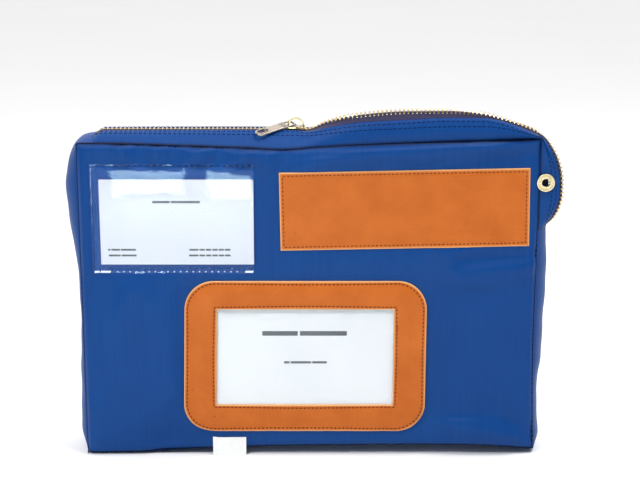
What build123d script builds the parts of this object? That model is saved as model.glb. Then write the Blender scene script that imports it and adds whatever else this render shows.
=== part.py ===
"""Cash deposit bag: a gusseted fabric bag with a zip round its top right corner.

Units are millimetres. The origin is the middle of the base that the bag stands on, +Z is up,
+X is to the right of someone facing the front, and the front panel faces -Y. Every cloth part
is a plain closed solid of the cloth's own thickness.
"""
from build123d import *

import os
from math import cos, radians, sin

# Shell
BAG_WIDTH = 282.0
PANEL_HEIGHT = 200.0
GUSSET_DEPTH = 40.0
FABRIC = 0.8
CROSS_SEAM_HEIGHT = 146.0
SEWN_GAP = 0.45
BINDING_WIDTH = 7.0
BINDING_THICKNESS = 1.0
BINDING_GAP = 0.1

# Zip
ZIP_HEIGHT = 205.5
TAPE_THICKNESS = 0.6
TAPE_START = 0.6
TOOTH_PITCH = 2.6
TOOTH_WIDTH = 1.1
TOOTH_LENGTH = 3.0
TOOTH_HEIGHT = 2.2
TOOTH_OVERHANG = 2.3
CLOSED_EDGE = 1.7
CLOSED_FOLD = 7.0

# Slider and pull
SLIDER_X = -7.7
SLIDER_HALF_LENGTH = 5.8
SLIDER_CHANNEL = 2.8
SLIDER_PLATE = 1.0
SLIDER_EDGE_ROUND = 0.4
SLIDER_NOSE_ROUND = 1.2
SLIDER_NOSE_HALF = 3.3
SLIDER_WAIST_HALF = 3.6
SLIDER_MOUTH_HALF = 5.4
SLIDER_WEDGE_START = 3.4
SLIDER_WEDGE_HALF = (0.1, 0.7)
SLIDER_RAIL_GAP = 1.3
SLIDER_RAIL_INNER = (2.75, 2.95, 4.75)
SLIDER_RAIL_OUTER = (3.35, 3.6, 5.2)
SLIDER_RAIL_ENDS = (1.0, 0.8)
SLIDER_MOUTH_EDGE = 3.55
BAIL_HALF_SPAN = 5.2
BAIL_RISE = 5.2
BAIL_STRIP = 1.0
BAIL_WIDTH = 1.4
PULL_PIVOT_X = -2.0
PULL_PIVOT_RISE = 1.9
PULL_YAW = 35.0
PULL_ROLL = 18.0
PULL_LENGTH = 27.0
PULL_WIDTH = 7.0
PULL_THICKNESS = 1.1
PULL_BAR_RADIUS = 0.55
PULL_WINDOW = (5.0, 5.2)
PULL_EYE = (7.4, 3.8)
PULL_EYE_MARGIN = 1.3
PULL_EYE_RIM = (0.8, 0.3)
PULL_EDGE_ROUND = 0.3
PULL_RIB_RADIUS = 0.4
PULL_RIB_PITCH = 1.0
PULL_RIBS = 3

# Eyelet
EYELET_X = 144.8
EYELET_Z = 176.0
EYELET_BORE_RADIUS = 2.6
EYELET_WALL = 0.4
EYELET_FLANGE_RADIUS = 5.5
EYELET_FLANGE = 0.7
EYELET_COLLAR = (0.9, 0.3)
EYELET_GROOVE = (4.35, 0.45)
EYELET_ROLL_RADIUS = 3.9
EYELET_ROLL = 0.4
WASHER_RADIUS = 4.4
WASHER_THICKNESS = 0.6
METAL_GAP = 0.05

# Pieces on the front
FILM = 0.3
CARD = 0.35
CARD_GAP = 0.3
PATCH_SIZE = (153.0, 48.5)
PATCH_CENTRE = (59.0, 159.4)
PATCH_TILT = 1.1
PATCH_THICKNESS = 0.8
PATCH_CORNER = 1.5
POCKET_LEFT = -133.0
POCKET_RIGHT = -33.5
POCKET_BOTTOM = 119.3
POCKET_TOP = 187.5
POCKET_HEM = 2.5
BUSINESS_CARD_SIZE = (94.2, 53.0)
BUSINESS_CARD_BOTTOM = 125.2
FRAME_SIZE = (152.0, 98.0)
FRAME_CENTRE = (-2.3, 65.3)
FRAME_CORNER = 18.0
FRAME_LEATHER = 1.4
FRAME_WINDOW = (111.0, 62.5)
ADDRESS_CARD_SIZE = (115.0, 67.0)
ADDRESS_CARD_ROOM = 1.0
LABEL_X = (-60.7, -39.6)
LABEL_Z = (0.2, 12.0)
LABEL_THICKNESS = 0.5

HALF_WIDTH = BAG_WIDTH / 2
HALF_DEPTH = GUSSET_DEPTH / 2
FRONT_FACE = -HALF_DEPTH - FABRIC / 2
INNER_FACE = HALF_DEPTH - FABRIC / 2
ROOT_Z = PANEL_HEIGHT + SEWN_GAP
ROOT_X = HALF_WIDTH + SEWN_GAP
SLIDER_TOP = SLIDER_CHANNEL / 2 + SLIDER_PLATE
SLIDER_MOUTH_X = SLIDER_X + SLIDER_HALF_LENGTH


def block(x_span, y_span, z_span):
    """A box from its lowest and highest value along each axis."""
    spans = (x_span, y_span, z_span)
    centre = [(low + high) / 2 for low, high in spans]
    size = [high - low for low, high in spans]
    return Pos(*centre) * Box(*size)


def upright_plate(outline, back_y, thickness):
    """A sketch drawn in X and Z, thickened from back_y towards the front."""
    face_plane = Plane(origin=(0, back_y, 0), x_dir=(1, 0, 0), z_dir=(0, -1, 0))
    return extrude(face_plane * outline, amount=thickness)


# Stations of a zip half from the bag's top left corner to the cross seam on its right side:
# where the cloth strip is sewn to the panel, where it folds, and where the toothed edge is.
def front_stations():
    """Front half. It lies towards the zip as far as the slider and stands open after it."""
    top = [
        ((-140, ROOT_Z), (-140, -CLOSED_FOLD, 201.6), (-140, -CLOSED_EDGE, 201.9)),
        ((-120, ROOT_Z), (-120, -CLOSED_FOLD, ZIP_HEIGHT), (-120, -CLOSED_EDGE, ZIP_HEIGHT)),
        ((SLIDER_X, ROOT_Z), (SLIDER_X, -CLOSED_FOLD, ZIP_HEIGHT), (SLIDER_X, -CLOSED_EDGE, ZIP_HEIGHT)),
        ((SLIDER_MOUTH_X, ROOT_Z), (SLIDER_MOUTH_X, -8.8, ZIP_HEIGHT),
         (SLIDER_MOUTH_X, -SLIDER_MOUTH_EDGE, ZIP_HEIGHT)),
        ((12, ROOT_Z), (12, -13.5, 208.5), (12, -10.0, 211.5)),
        ((30, ROOT_Z), (30, -15.7, 211.9), (30, -14.3, 216.3)),
        ((60, ROOT_Z), (60, -16.0, 213.5), (60, -14.8, 218.3)),
        ((105, ROOT_Z), (105, -16.0, 213.5), (105, -13.5, 217.0)),
        ((125, ROOT_Z), (125, -17.0, 209.5), (125, -12.5, 211.5)),
    ]
    side = [
        ((ROOT_X, ROOT_Z), (145.0, -18.5, 204.0), (144.5, -13.0, 205.0)),
        ((ROOT_X, 192), (150.0, -20.0, 192), (151.6, -14.7, 192)),
        ((ROOT_X, 184), (152.0, -20.0, 184), (153.8, -14.7, 184)),
        ((ROOT_X, 168), (152.0, -20.0, 168), (153.8, -14.7, 168)),
        ((ROOT_X, 160), (151.0, -19.0, 160), (152.6, -13.7, 160)),
        ((ROOT_X, 151), (147.0, -14.0, 151), (148.2, -8.8, 151)),
        ((ROOT_X, CROSS_SEAM_HEIGHT + SEWN_GAP), (143.2, -7.0, CROSS_SEAM_HEIGHT + SEWN_GAP),
         (143.6, -1.9, CROSS_SEAM_HEIGHT + SEWN_GAP)),
    ]
    return [(Vector(x, -HALF_DEPTH, z), Vector(fold), Vector(edge)) for (x, z), fold, edge in top + side]


def back_stations():
    """Back half. Its open stretch stands lower than the front one."""
    top = [
        ((-140, ROOT_Z), (-140, CLOSED_FOLD, 201.6), (-140, CLOSED_EDGE, 201.9)),
        ((-120, ROOT_Z), (-120, CLOSED_FOLD, ZIP_HEIGHT), (-120, CLOSED_EDGE, ZIP_HEIGHT)),
        ((SLIDER_X, ROOT_Z), (SLIDER_X, CLOSED_FOLD, ZIP_HEIGHT), (SLIDER_X, CLOSED_EDGE, ZIP_HEIGHT)),
        ((SLIDER_MOUTH_X, ROOT_Z), (SLIDER_MOUTH_X, 8.8, ZIP_HEIGHT),
         (SLIDER_MOUTH_X, SLIDER_MOUTH_EDGE, ZIP_HEIGHT)),
        ((30, ROOT_Z), (30, 13.0, 207.5), (30, 9.0, 210.5)),
        ((60, ROOT_Z), (60, 14.0, 209.0), (60, 11.0, 213.0)),
        ((105, ROOT_Z), (105, 14.0, 209.0), (105, 11.0, 213.0)),
        ((125, ROOT_Z), (125, 14.0, 207.0), (125, 10.0, 210.0)),
    ]
    side = [
        ((ROOT_X, ROOT_Z), (145.0, 15.5, 203.0), (145.0, 10.3, 203.8)),
        ((ROOT_X, 190), (148.5, 12.5, 190), (149.5, 7.4, 190)),
        ((ROOT_X, 168), (149.0, 10.5, 168), (150.0, 5.4, 168)),
        ((ROOT_X, 156), (146.5, 8.5, 156), (147.3, 3.4, 156)),
        ((ROOT_X, CROSS_SEAM_HEIGHT + SEWN_GAP), (143.2, 7.0, CROSS_SEAM_HEIGHT + SEWN_GAP),
         (143.6, 1.9, CROSS_SEAM_HEIGHT + SEWN_GAP)),
    ]
    return [(Vector(x, HALF_DEPTH, z), Vector(fold), Vector(edge)) for (x, z), fold, edge in top + side]


def across_strip(starts, ends):
    """The unit normal of a strip at each of its stations."""
    middles = [(start + end) / 2 for start, end in zip(starts, ends)]
    last = len(middles) - 1
    normals = []
    for index, (start, end) in enumerate(zip(starts, ends)):
        along = middles[min(index + 1, last)] - middles[max(index - 1, 0)]
        normals.append((end - start).cross(along).normalized())
    return normals


def strip(starts, ends, thickness):
    """One band of cloth between two lines, straight between its stations."""
    sections = []
    for start, end, normal in zip(starts, ends, across_strip(starts, ends)):
        offset = normal * (thickness / 2)
        corners = [start - offset, start + offset, end + offset, end - offset]
        sections.append(Wire.make_polygon(corners, close=True))
    return Solid.make_loft(sections, ruled=True)


def zip_gusset(stations):
    roots = [root for root, fold, edge in stations]
    folds = [fold for root, fold, edge in stations]
    return strip(roots, folds, FABRIC)


def zip_tape(stations):
    starts = [fold + (edge - fold).normalized() * TAPE_START for root, fold, edge in stations]
    edges = [edge for root, fold, edge in stations]
    return strip(starts, edges, TAPE_THICKNESS)


def zip_teeth(stations, first):
    """Teeth clamped on the tape's edge at even spacing, the first one at a given distance."""
    folds = [fold for root, fold, edge in stations]
    edges = [edge for root, fold, edge in stations]
    normals = across_strip(folds, edges)
    teeth = []
    distance = first
    for index in range(len(stations) - 1):
        run = edges[index + 1] - edges[index]
        while distance < run.length:
            share = distance / run.length
            outward = (edges[index] - folds[index]).normalized() * (1 - share)
            outward += (edges[index + 1] - folds[index + 1]).normalized() * share
            normal = normals[index] * (1 - share) + normals[index + 1] * share
            centre = edges[index] + run * share
            centre += outward.normalized() * (TOOTH_OVERHANG - TOOTH_LENGTH / 2)
            seat = Plane(origin=centre, x_dir=outward.cross(normal), z_dir=normal)
            teeth.append(seat * Box(TOOTH_WIDTH, TOOTH_LENGTH, TOOTH_HEIGHT))
            distance += TOOTH_PITCH
        distance -= run.length
    return Compound(teeth)


def seam_binding(side):
    """Tape that binds the raw edges round the inside of a panel; side is -1 in front."""
    reach = HALF_WIDTH - FABRIC - BINDING_GAP
    low = FABRIC + BINDING_GAP
    high = PANEL_HEIGHT - BINDING_GAP
    y_span = sorted((side * (INNER_FACE - BINDING_GAP), side * (INNER_FACE - BINDING_THICKNESS)))
    ring = block((-reach, reach), y_span, (low, high))
    inner_x = (-reach + BINDING_WIDTH, reach - BINDING_WIDTH)
    return ring - block(inner_x, y_span, (low + BINDING_WIDTH, high - BINDING_WIDTH))


def slider_place():
    return Pos(SLIDER_X, 0, ZIP_HEIGHT)


def slider_body():
    """Two plates joined by the wedge that parts the teeth, with rails along their edges."""
    nose = -SLIDER_HALF_LENGTH
    mouth = SLIDER_HALF_LENGTH
    outline = make_face(Polyline(
        (nose, -SLIDER_NOSE_HALF), (0, -SLIDER_WAIST_HALF), (mouth, -SLIDER_MOUTH_HALF),
        (mouth, SLIDER_MOUTH_HALF), (0, SLIDER_WAIST_HALF), (nose, SLIDER_NOSE_HALF), close=True))
    outline = fillet(outline.vertices().filter_by_position(Axis.X, nose, nose), SLIDER_NOSE_ROUND)
    plate = extrude(outline, amount=SLIDER_PLATE)
    plate = fillet(plate.faces().sort_by(Axis.Z)[-1].edges(), SLIDER_EDGE_ROUND)
    wedge_tip, wedge_end = SLIDER_WEDGE_HALF
    wedge_outline = make_face(Polyline(
        (SLIDER_WEDGE_START, -wedge_tip), (mouth, -wedge_end), (mouth, wedge_end),
        (SLIDER_WEDGE_START, wedge_tip), close=True))
    wedge = extrude(wedge_outline, amount=SLIDER_CHANNEL / 2, both=True)
    upper = Pos(0, 0, SLIDER_CHANNEL / 2) * plate
    body = upper + mirror(upper, Plane.XY) + wedge
    rail_x = (nose + SLIDER_RAIL_ENDS[0], 0, mouth - SLIDER_RAIL_ENDS[1])
    inner_edge = list(zip(rail_x, SLIDER_RAIL_INNER))
    outer_edge = list(zip(rail_x, SLIDER_RAIL_OUTER))
    rail_outline = make_face(Polyline(*inner_edge, *outer_edge[::-1], close=True))
    rail_height = (SLIDER_CHANNEL - SLIDER_RAIL_GAP) / 2
    rail = Pos(0, 0, SLIDER_RAIL_GAP / 2) * extrude(rail_outline, amount=rail_height)
    for mirrored in (rail, mirror(rail, Plane.XZ)):
        body += mirrored
        body += mirror(mirrored, Plane.XY)
    return slider_place() * body


def slider_bail():
    """Low arch from the slider's nose to its mouth that the pull's bar sits under."""
    arch = Ellipse(BAIL_HALF_SPAN, BAIL_RISE)
    arch -= Ellipse(BAIL_HALF_SPAN - BAIL_STRIP, BAIL_RISE - BAIL_STRIP)
    upper_half = Pos(0, BAIL_RISE / 2) * Rectangle(2 * BAIL_HALF_SPAN, BAIL_RISE)
    strap = extrude(Plane.XZ * (arch & upper_half), amount=BAIL_WIDTH / 2, both=True)
    return slider_place() * Pos(0, 0, SLIDER_TOP) * strap


def pull_axes():
    """The pull lies on the front gusset's slope, turned forwards: its length and its bar."""
    yaw = radians(PULL_YAW)
    roll = radians(PULL_ROLL)
    downhill = Vector(0, -cos(roll), -sin(roll))
    along_zip = Vector(-1, 0, 0)
    length_axis = along_zip * cos(yaw) + downhill * sin(yaw)
    bar_axis = downhill * cos(yaw) - along_zip * sin(yaw)
    return length_axis, bar_axis


def pull_pivot():
    return Vector(SLIDER_X + PULL_PIVOT_X, 0, ZIP_HEIGHT + SLIDER_TOP + PULL_PIVOT_RISE)


def pull_eye_rim():
    """Raised rim round the eye, on both faces of the pull."""
    rim_width, rim_rise = PULL_EYE_RIM
    length, width = PULL_EYE
    rim = SlotOverall(length + 2 * rim_width, width + 2 * rim_width) - SlotOverall(length, width)
    return extrude(rim, amount=PULL_THICKNESS / 2 + rim_rise, both=True)


def pull_rib(x):
    """A finger rib across the pull's neck, on both faces."""
    rib = Rot(90, 0, 0) * Cylinder(PULL_RIB_RADIUS, PULL_WIDTH - 4 * PULL_EDGE_ROUND)
    face = PULL_THICKNESS / 2
    return Pos(x, 0, face) * rib + Pos(x, 0, -face) * rib


def pull_tab():
    """Flat pull: bar, window and ribbed neck at the slider's end, a rimmed eye at the other."""
    end_radius = PULL_WIDTH / 2
    straight = PULL_LENGTH - end_radius
    outline = Pos(straight / 2, 0) * Rectangle(straight, PULL_WIDTH)
    outline += Pos(straight, 0) * Circle(end_radius)
    window_length, window_width = PULL_WINDOW
    outline -= Pos(window_length / 2, 0) * Rectangle(window_length, window_width)
    eye_x = PULL_LENGTH - PULL_EYE_MARGIN - PULL_EYE[0] / 2
    outline -= Pos(eye_x, 0) * SlotOverall(*PULL_EYE)
    plate = extrude(outline, amount=PULL_THICKNESS / 2, both=True)
    faces = plate.faces().sort_by(Axis.Z)
    plate = fillet(faces[0].edges() + faces[-1].edges(), PULL_EDGE_ROUND)
    bar = Rot(90, 0, 0) * Cylinder(PULL_BAR_RADIUS, PULL_WIDTH)
    plate += Pos(eye_x, 0) * pull_eye_rim()
    for index in range(1, PULL_RIBS + 1):
        plate += pull_rib(window_length + index * PULL_RIB_PITCH)
    length_axis, bar_axis = pull_axes()
    seat = Plane(origin=pull_pivot(), x_dir=length_axis, z_dir=length_axis.cross(bar_axis))
    return seat * (plate + bar)


def facing_front(solid, y_position):
    """Turn a solid drawn along +Z to point at -Y, at the eyelet's place."""
    return Pos(EYELET_X, y_position, EYELET_Z) * Rot(90, 0, 0) * solid


def eyelet():
    """Flange in front, barrel through the cloth, and the barrel's rolled rim behind."""
    flange_back = FRONT_FACE - METAL_GAP
    rim_front = -INNER_FACE + WASHER_THICKNESS + 2 * METAL_GAP
    barrel_radius = EYELET_BORE_RADIUS + EYELET_WALL
    flange = extrude(Circle(EYELET_FLANGE_RADIUS), amount=EYELET_FLANGE)
    flange = fillet(flange.faces().sort_by(Axis.Z)[-1].edges(), EYELET_FLANGE / 2)
    collar_width, collar_rise = EYELET_COLLAR
    collar = extrude(Circle(EYELET_BORE_RADIUS + collar_width), amount=EYELET_FLANGE + collar_rise)
    collar = fillet(collar.faces().sort_by(Axis.Z)[-1].edges(), collar_rise)
    groove_radius, groove_size = EYELET_GROOVE
    flange = flange + collar - Pos(0, 0, EYELET_FLANGE) * Torus(groove_radius, groove_size)
    barrel_length = rim_front + EYELET_ROLL - flange_back
    barrel = extrude(Circle(barrel_radius), amount=-barrel_length)
    rim = extrude(Circle(EYELET_ROLL_RADIUS), amount=EYELET_ROLL)
    rim = Pos(0, 0, -barrel_length) * rim
    bore = extrude(Circle(EYELET_BORE_RADIUS), amount=EYELET_FLANGE + collar_rise + barrel_length, both=True)
    return facing_front(flange + barrel + rim - bore, flange_back)


def eyelet_washer():
    hole_radius = EYELET_BORE_RADIUS + EYELET_WALL + METAL_GAP
    ring = extrude(Circle(WASHER_RADIUS) - Circle(hole_radius), amount=WASHER_THICKNESS)
    return facing_front(ring, -INNER_FACE + METAL_GAP + WASHER_THICKNESS)


def eyelet_hole():
    hole_radius = EYELET_BORE_RADIUS + EYELET_WALL + METAL_GAP
    return facing_front(Cylinder(hole_radius, 4 * FABRIC), -HALF_DEPTH)


def card_level():
    """How far off the front face the business card slides, to pass over the patch."""
    return FRONT_FACE - PATCH_THICKNESS - CARD_GAP


def card_pocket():
    film_back = card_level() - CARD - CARD_GAP
    hem_edges = (POCKET_BOTTOM + POCKET_HEM, POCKET_TOP - POCKET_HEM)
    shell = block((POCKET_LEFT, POCKET_RIGHT), (film_back - FILM, FRONT_FACE), (POCKET_BOTTOM, POCKET_TOP))
    room = block((POCKET_LEFT + POCKET_HEM, POCKET_RIGHT + 1), (film_back, FRONT_FACE + 1), hem_edges)
    return shell - room


def business_card():
    width, height = BUSINESS_CARD_SIZE
    x_span = (POCKET_RIGHT - width, POCKET_RIGHT)
    z_span = (BUSINESS_CARD_BOTTOM, BUSINESS_CARD_BOTTOM + height)
    return block(x_span, (card_level() - CARD, card_level()), z_span)


def writing_patch():
    outline = RectangleRounded(*PATCH_SIZE, PATCH_CORNER)
    return upright_plate(Pos(*PATCH_CENTRE) * Rot(0, 0, PATCH_TILT) * outline, FRONT_FACE, PATCH_THICKNESS)


def frame_room():
    """Depth behind the frame's leather: the card with air on both sides, and the film."""
    return CARD + 2 * CARD_GAP + FILM


def centred_span(middle, size):
    return (middle - size / 2, middle + size / 2)


def address_frame():
    """Leather frame. A channel in its back, open on the right, holds the film and the card."""
    centre_x, centre_z = FRAME_CENTRE
    outline = RectangleRounded(*FRAME_SIZE, FRAME_CORNER) - Rectangle(*FRAME_WINDOW)
    leather = upright_plate(Pos(*FRAME_CENTRE) * outline, FRONT_FACE, FRAME_LEATHER + frame_room())
    channel_left = centre_x - ADDRESS_CARD_SIZE[0] / 2 - 2 * ADDRESS_CARD_ROOM
    channel_height = ADDRESS_CARD_SIZE[1] + 2 * ADDRESS_CARD_ROOM
    channel = block(
        (channel_left, centre_x + FRAME_SIZE[0]),
        (FRONT_FACE - frame_room(), FRONT_FACE + 1),
        centred_span(centre_z, channel_height))
    return leather - channel


def address_window():
    centre_x, centre_z = FRAME_CENTRE
    back = FRONT_FACE - frame_room() + FILM
    width = ADDRESS_CARD_SIZE[0] + 2 * ADDRESS_CARD_ROOM
    height = ADDRESS_CARD_SIZE[1] + ADDRESS_CARD_ROOM
    return block(centred_span(centre_x, width), (back - FILM, back), centred_span(centre_z, height))


def address_card():
    centre_x, centre_z = FRAME_CENTRE
    back = FRONT_FACE - CARD_GAP
    width, height = ADDRESS_CARD_SIZE
    return block(centred_span(centre_x, width), (back - CARD, back), centred_span(centre_z, height))


def panel(side):
    y_span = centred_span(side * HALF_DEPTH, FABRIC)
    return block((-HALF_WIDTH, HALF_WIDTH), y_span, (0, PANEL_HEIGHT))


def side_gusset(side, top):
    x_span = sorted((side * HALF_WIDTH, side * (HALF_WIDTH - FABRIC)))
    return block(x_span, (-INNER_FACE, INNER_FACE), (0, top))


def bottom_gusset():
    reach = HALF_WIDTH - FABRIC
    return block((-reach, reach), (-INNER_FACE, INNER_FACE), (0, FABRIC))


front = front_stations()
back = back_stations()
nodes = {
    "front_panel": panel(-1),
    "back_panel": panel(1),
    "left_gusset": side_gusset(-1, PANEL_HEIGHT),
    "right_gusset": side_gusset(1, CROSS_SEAM_HEIGHT),
    "bottom_gusset": bottom_gusset(),
    "zip_gusset_front": zip_gusset(front) - eyelet_hole(),
    "zip_gusset_back": zip_gusset(back),
    "front_seam_binding": seam_binding(-1),
    "back_seam_binding": seam_binding(1),
    "zip_tape_front": zip_tape(front),
    "zip_tape_back": zip_tape(back),
    "zip_teeth_front": zip_teeth(front, TOOTH_PITCH),
    "zip_teeth_back": zip_teeth(back, TOOTH_PITCH * 1.5),
    "slider_body": slider_body(),
    "slider_bail": slider_bail(),
    "pull_tab": pull_tab(),
    "eyelet": eyelet(),
    "eyelet_washer": eyelet_washer(),
    "card_pocket": card_pocket(),
    "business_card": business_card(),
    "writing_patch": writing_patch(),
    "address_frame": address_frame(),
    "address_window": address_window(),
    "address_card": address_card(),
    "seam_label": block(LABEL_X, (FRONT_FACE - LABEL_THICKNESS, FRONT_FACE), LABEL_Z),
}

os.makedirs("parts", exist_ok=True)
for name, shape in nodes.items():
    export_step(shape, f"parts/{name}.step")
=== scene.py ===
"""Looks of the cash deposit bag: sewn nylon shell, brass zip, leather pieces, clear pocket.

Shapes are worked out in millimetres in the CAD frame and turned into metres when a mesh is made.
"""
from math import cos, pi, radians, sin

import bpy
import numpy as np
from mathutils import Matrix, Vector


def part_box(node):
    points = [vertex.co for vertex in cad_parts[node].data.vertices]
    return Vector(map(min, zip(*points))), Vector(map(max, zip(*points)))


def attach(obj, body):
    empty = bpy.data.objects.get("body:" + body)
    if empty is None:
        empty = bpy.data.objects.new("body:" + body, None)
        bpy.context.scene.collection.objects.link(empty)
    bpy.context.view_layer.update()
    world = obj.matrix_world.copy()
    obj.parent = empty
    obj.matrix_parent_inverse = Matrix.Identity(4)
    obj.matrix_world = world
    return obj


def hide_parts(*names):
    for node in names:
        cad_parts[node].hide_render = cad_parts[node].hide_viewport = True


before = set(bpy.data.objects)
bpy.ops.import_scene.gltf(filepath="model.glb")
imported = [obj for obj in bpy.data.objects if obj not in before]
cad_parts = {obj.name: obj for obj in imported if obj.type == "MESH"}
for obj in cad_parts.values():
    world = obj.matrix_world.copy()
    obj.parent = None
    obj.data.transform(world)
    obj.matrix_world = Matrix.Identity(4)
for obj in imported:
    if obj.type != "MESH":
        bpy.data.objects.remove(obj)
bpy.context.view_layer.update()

MM = 0.001


def box_mm(node):
    low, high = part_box(node)
    return np.array(low) / MM, np.array(high) / MM


# Shell
PANEL_LOW, PANEL_HIGH = box_mm("front_panel")
HALF_WIDTH = PANEL_HIGH[0]
PANEL_TOP = PANEL_HIGH[2]
PANEL_Y = (PANEL_LOW[1] + PANEL_HIGH[1]) / 2
HALF_DEPTH = -PANEL_Y
SHEET = 0.7
CREASE_DEPTH = 1.9
CREASE_WIDTH = 1.7
# Reach in millimetres of the painted shade that darkens the nylon along its top and bottom seams, and along
# its side seams.
SEAM_SHADE = 1.0
SIDE_SEAM_SHADE = 0.6
GUSSET_TUCK = 0.7
CORNER_SPREAD = 3.0
SPREAD_FROM_X = 95.0
SPREAD_TO_Z = 95.0
SHARP_ANGLE = 50
ZIP_START_X = -131.0
ZIP_BEND_X = -126.0

# Zip
SLIDER_LOW, SLIDER_HIGH = box_mm("slider_body")
SLIDER_X = (SLIDER_LOW[0] + SLIDER_HIGH[0]) / 2
SLIDER_MOUTH_X = SLIDER_HIGH[0]
ZIP_Z = (SLIDER_LOW[2] + SLIDER_HIGH[2]) / 2
CLOSED_EDGE = 1.7
CLOSED_FOLD = 7.0
MOUTH_EDGE = 3.55
TOOTH_PITCH = 2.6
FOLD_STITCH = 1.5
SECOND_STITCH = 5.0

# Front pieces
EYELET_LOW, EYELET_HIGH = box_mm("eyelet")
EYELET_CENTRE = (EYELET_LOW + EYELET_HIGH) / 2
EYELET_X, EYELET_Z = EYELET_CENTRE[0], EYELET_CENTRE[2]
POCKET_LOW, POCKET_HIGH = box_mm("card_pocket")
PATCH_LOW, PATCH_HIGH = box_mm("writing_patch")
FRAME_LOW, FRAME_HIGH = box_mm("address_frame")
LABEL_LOW, LABEL_HIGH = box_mm("seam_label")
CARD_LOW, CARD_HIGH = box_mm("business_card")
ADDRESS_LOW, ADDRESS_HIGH = box_mm("address_card")
PATCH_SIZE = (153.0, 48.5)
PATCH_TILT = 1.1
PATCH_RISE = 0.9
FRAME_CORNER = 18.0
FRAME_WINDOW = (111.0, 62.5)

# ---------------------------------------------------------------- shapes


def smooth(knots, values, at):
    """Cubic curve through values at knots that never overshoots them."""
    knots = np.asarray(knots, float)
    values = np.asarray(values, float)
    if values.ndim == 1:
        return smooth(knots, values[:, None], at)[:, 0]
    steps = np.diff(knots)[:, None]
    rises = np.diff(values, axis=0) / steps
    product = rises[:-1] * rises[1:]
    total = rises[:-1] + rises[1:]
    inner = np.where(product > 0, 2 * product / np.where(total == 0, 1, total), 0)
    slopes = np.vstack([rises[:1], inner, rises[-1:]])
    at = np.atleast_1d(np.asarray(at, float))
    index = np.clip(np.searchsorted(knots, at, side="right") - 1, 0, len(knots) - 2)
    step = steps[index]
    share = (at[:, None] - knots[index][:, None]) / step
    before = values[index] * (1 + 2 * share) + slopes[index] * step * share
    after = values[index + 1] * (3 - 2 * share) + slopes[index + 1] * step * (share - 1)
    return before * (1 - share) ** 2 + after * share ** 2


def unit(vectors):
    lengths = np.linalg.norm(vectors, axis=-1, keepdims=True)
    return vectors / np.maximum(lengths, 1e-9)


def lengths_along(points):
    steps = np.linalg.norm(np.diff(points, axis=0), axis=1)
    return np.concatenate([[0], np.cumsum(steps)])


def read_along(at, along, values):
    """Values known at distances along a path, read at other distances."""
    return np.stack([np.interp(at, along, column) for column in values.T], axis=1)


def evenly(points, pitch, first=0.0):
    """Points at even spacing along a path, and the path's direction at each."""
    along = lengths_along(points)
    at = np.arange(first, along[-1], pitch)
    directions = unit(np.gradient(points, along + np.arange(len(along)) * 1e-9, axis=0))
    return read_along(at, along, points), unit(read_along(at, along, directions)), at


def facing_front(count):
    """Normals of a row on the bag's front."""
    return np.tile([0.0, -1.0, 0.0], (count, 1))


def soft_step(value):
    share = np.clip(value, 0, 1)
    return share * share * (3 - 2 * share)


def close_spaced(span, fine, coarse):
    """Values over a span, close together at both ends and wider apart between them."""
    low, high = span
    edge = fine * np.array([0, 1, 2, 3.2, 4.8, 7, 10, 14])
    middle = np.linspace(low + edge[-1], high - edge[-1], max(2, round((high - low - 2 * edge[-1]) / coarse)))
    return np.concatenate([low + edge[:-1], middle, (high - edge[:-1])[::-1]])


# ---------------------------------------------------------------- meshes


def spread_corner(points):
    """The bag's lower right corner, which the weight inside pushes a little outwards."""
    x, z = points[:, 0], points[:, 2]
    to_right = soft_step((x - SPREAD_FROM_X) / (HALF_WIDTH - SPREAD_FROM_X))
    down = np.clip(1 - z / SPREAD_TO_Z, 0, 1) ** 2
    return points + np.outer(to_right * down, [CORNER_SPREAD, 0, 0])


def mesh_object(name, points, faces, uv=None, edge=None):
    """A smooth-shaded object from points in millimetres; edge says how near each is to a seam or cut."""
    mesh = bpy.data.meshes.new(name)
    places = spread_corner(np.asarray(points, float).reshape(-1, 3))
    mesh.from_pydata((places * MM).tolist(), [], faces)
    if uv is not None:
        layer = mesh.uv_layers.new(name="cloth")
        corners = np.empty(len(mesh.loops), int)
        mesh.loops.foreach_get("vertex_index", corners)
        layer.data.foreach_set("uv", np.asarray(uv, float).reshape(-1, 2)[corners].ravel())
    if edge is not None:
        nearness = mesh.attributes.new("edge", "FLOAT", "POINT").data
        nearness.foreach_set("value", np.asarray(edge, float).ravel())
    mesh.shade_smooth()
    mesh.update()
    piece = bpy.data.objects.new(name, mesh)
    bpy.context.scene.collection.objects.link(piece)
    return piece


def grid_faces(rows, columns, wrap=False):
    faces = []
    for row in range(rows - 1):
        for column in range(columns if wrap else columns - 1):
            right = (column + 1) % columns
            faces.append((row * columns + column, row * columns + right,
                          (row + 1) * columns + right, (row + 1) * columns + column))
    return faces


def closed_tube_faces(base, rings, sides):
    """Faces of a tube with flat ends, whose points start at base."""
    faces = [tuple(base + corner for corner in face) for face in grid_faces(rings, sides, wrap=True)]
    last = base + (rings - 1) * sides
    return faces + [tuple(range(base + sides - 1, base - 1, -1)), tuple(range(last, last + sides))]


def grid_object(name, points, flip=False, edge=None):
    """A sheet from rows of points. Its UV is in millimetres along the middle row and column."""
    rows, columns = points.shape[:2]
    across = lengths_along(points[rows // 2])
    along = lengths_along(points[:, columns // 2])
    uv = np.stack(np.meshgrid(across, along), axis=-1)
    faces = grid_faces(rows, columns)
    if flip:
        faces = [face[::-1] for face in faces]
    return mesh_object(name, points, faces, uv, edge)


def near_edge(distance, reach):
    """1 at an edge, falling to 0 beyond the reach."""
    return np.exp(-(np.asarray(distance, float) / reach) ** 2)


def apply_modifiers(piece):
    shaped = bpy.data.meshes.new_from_object(
        piece.evaluated_get(bpy.context.evaluated_depsgraph_get()))
    piece.modifiers.clear()
    piece.data = shaped


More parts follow.
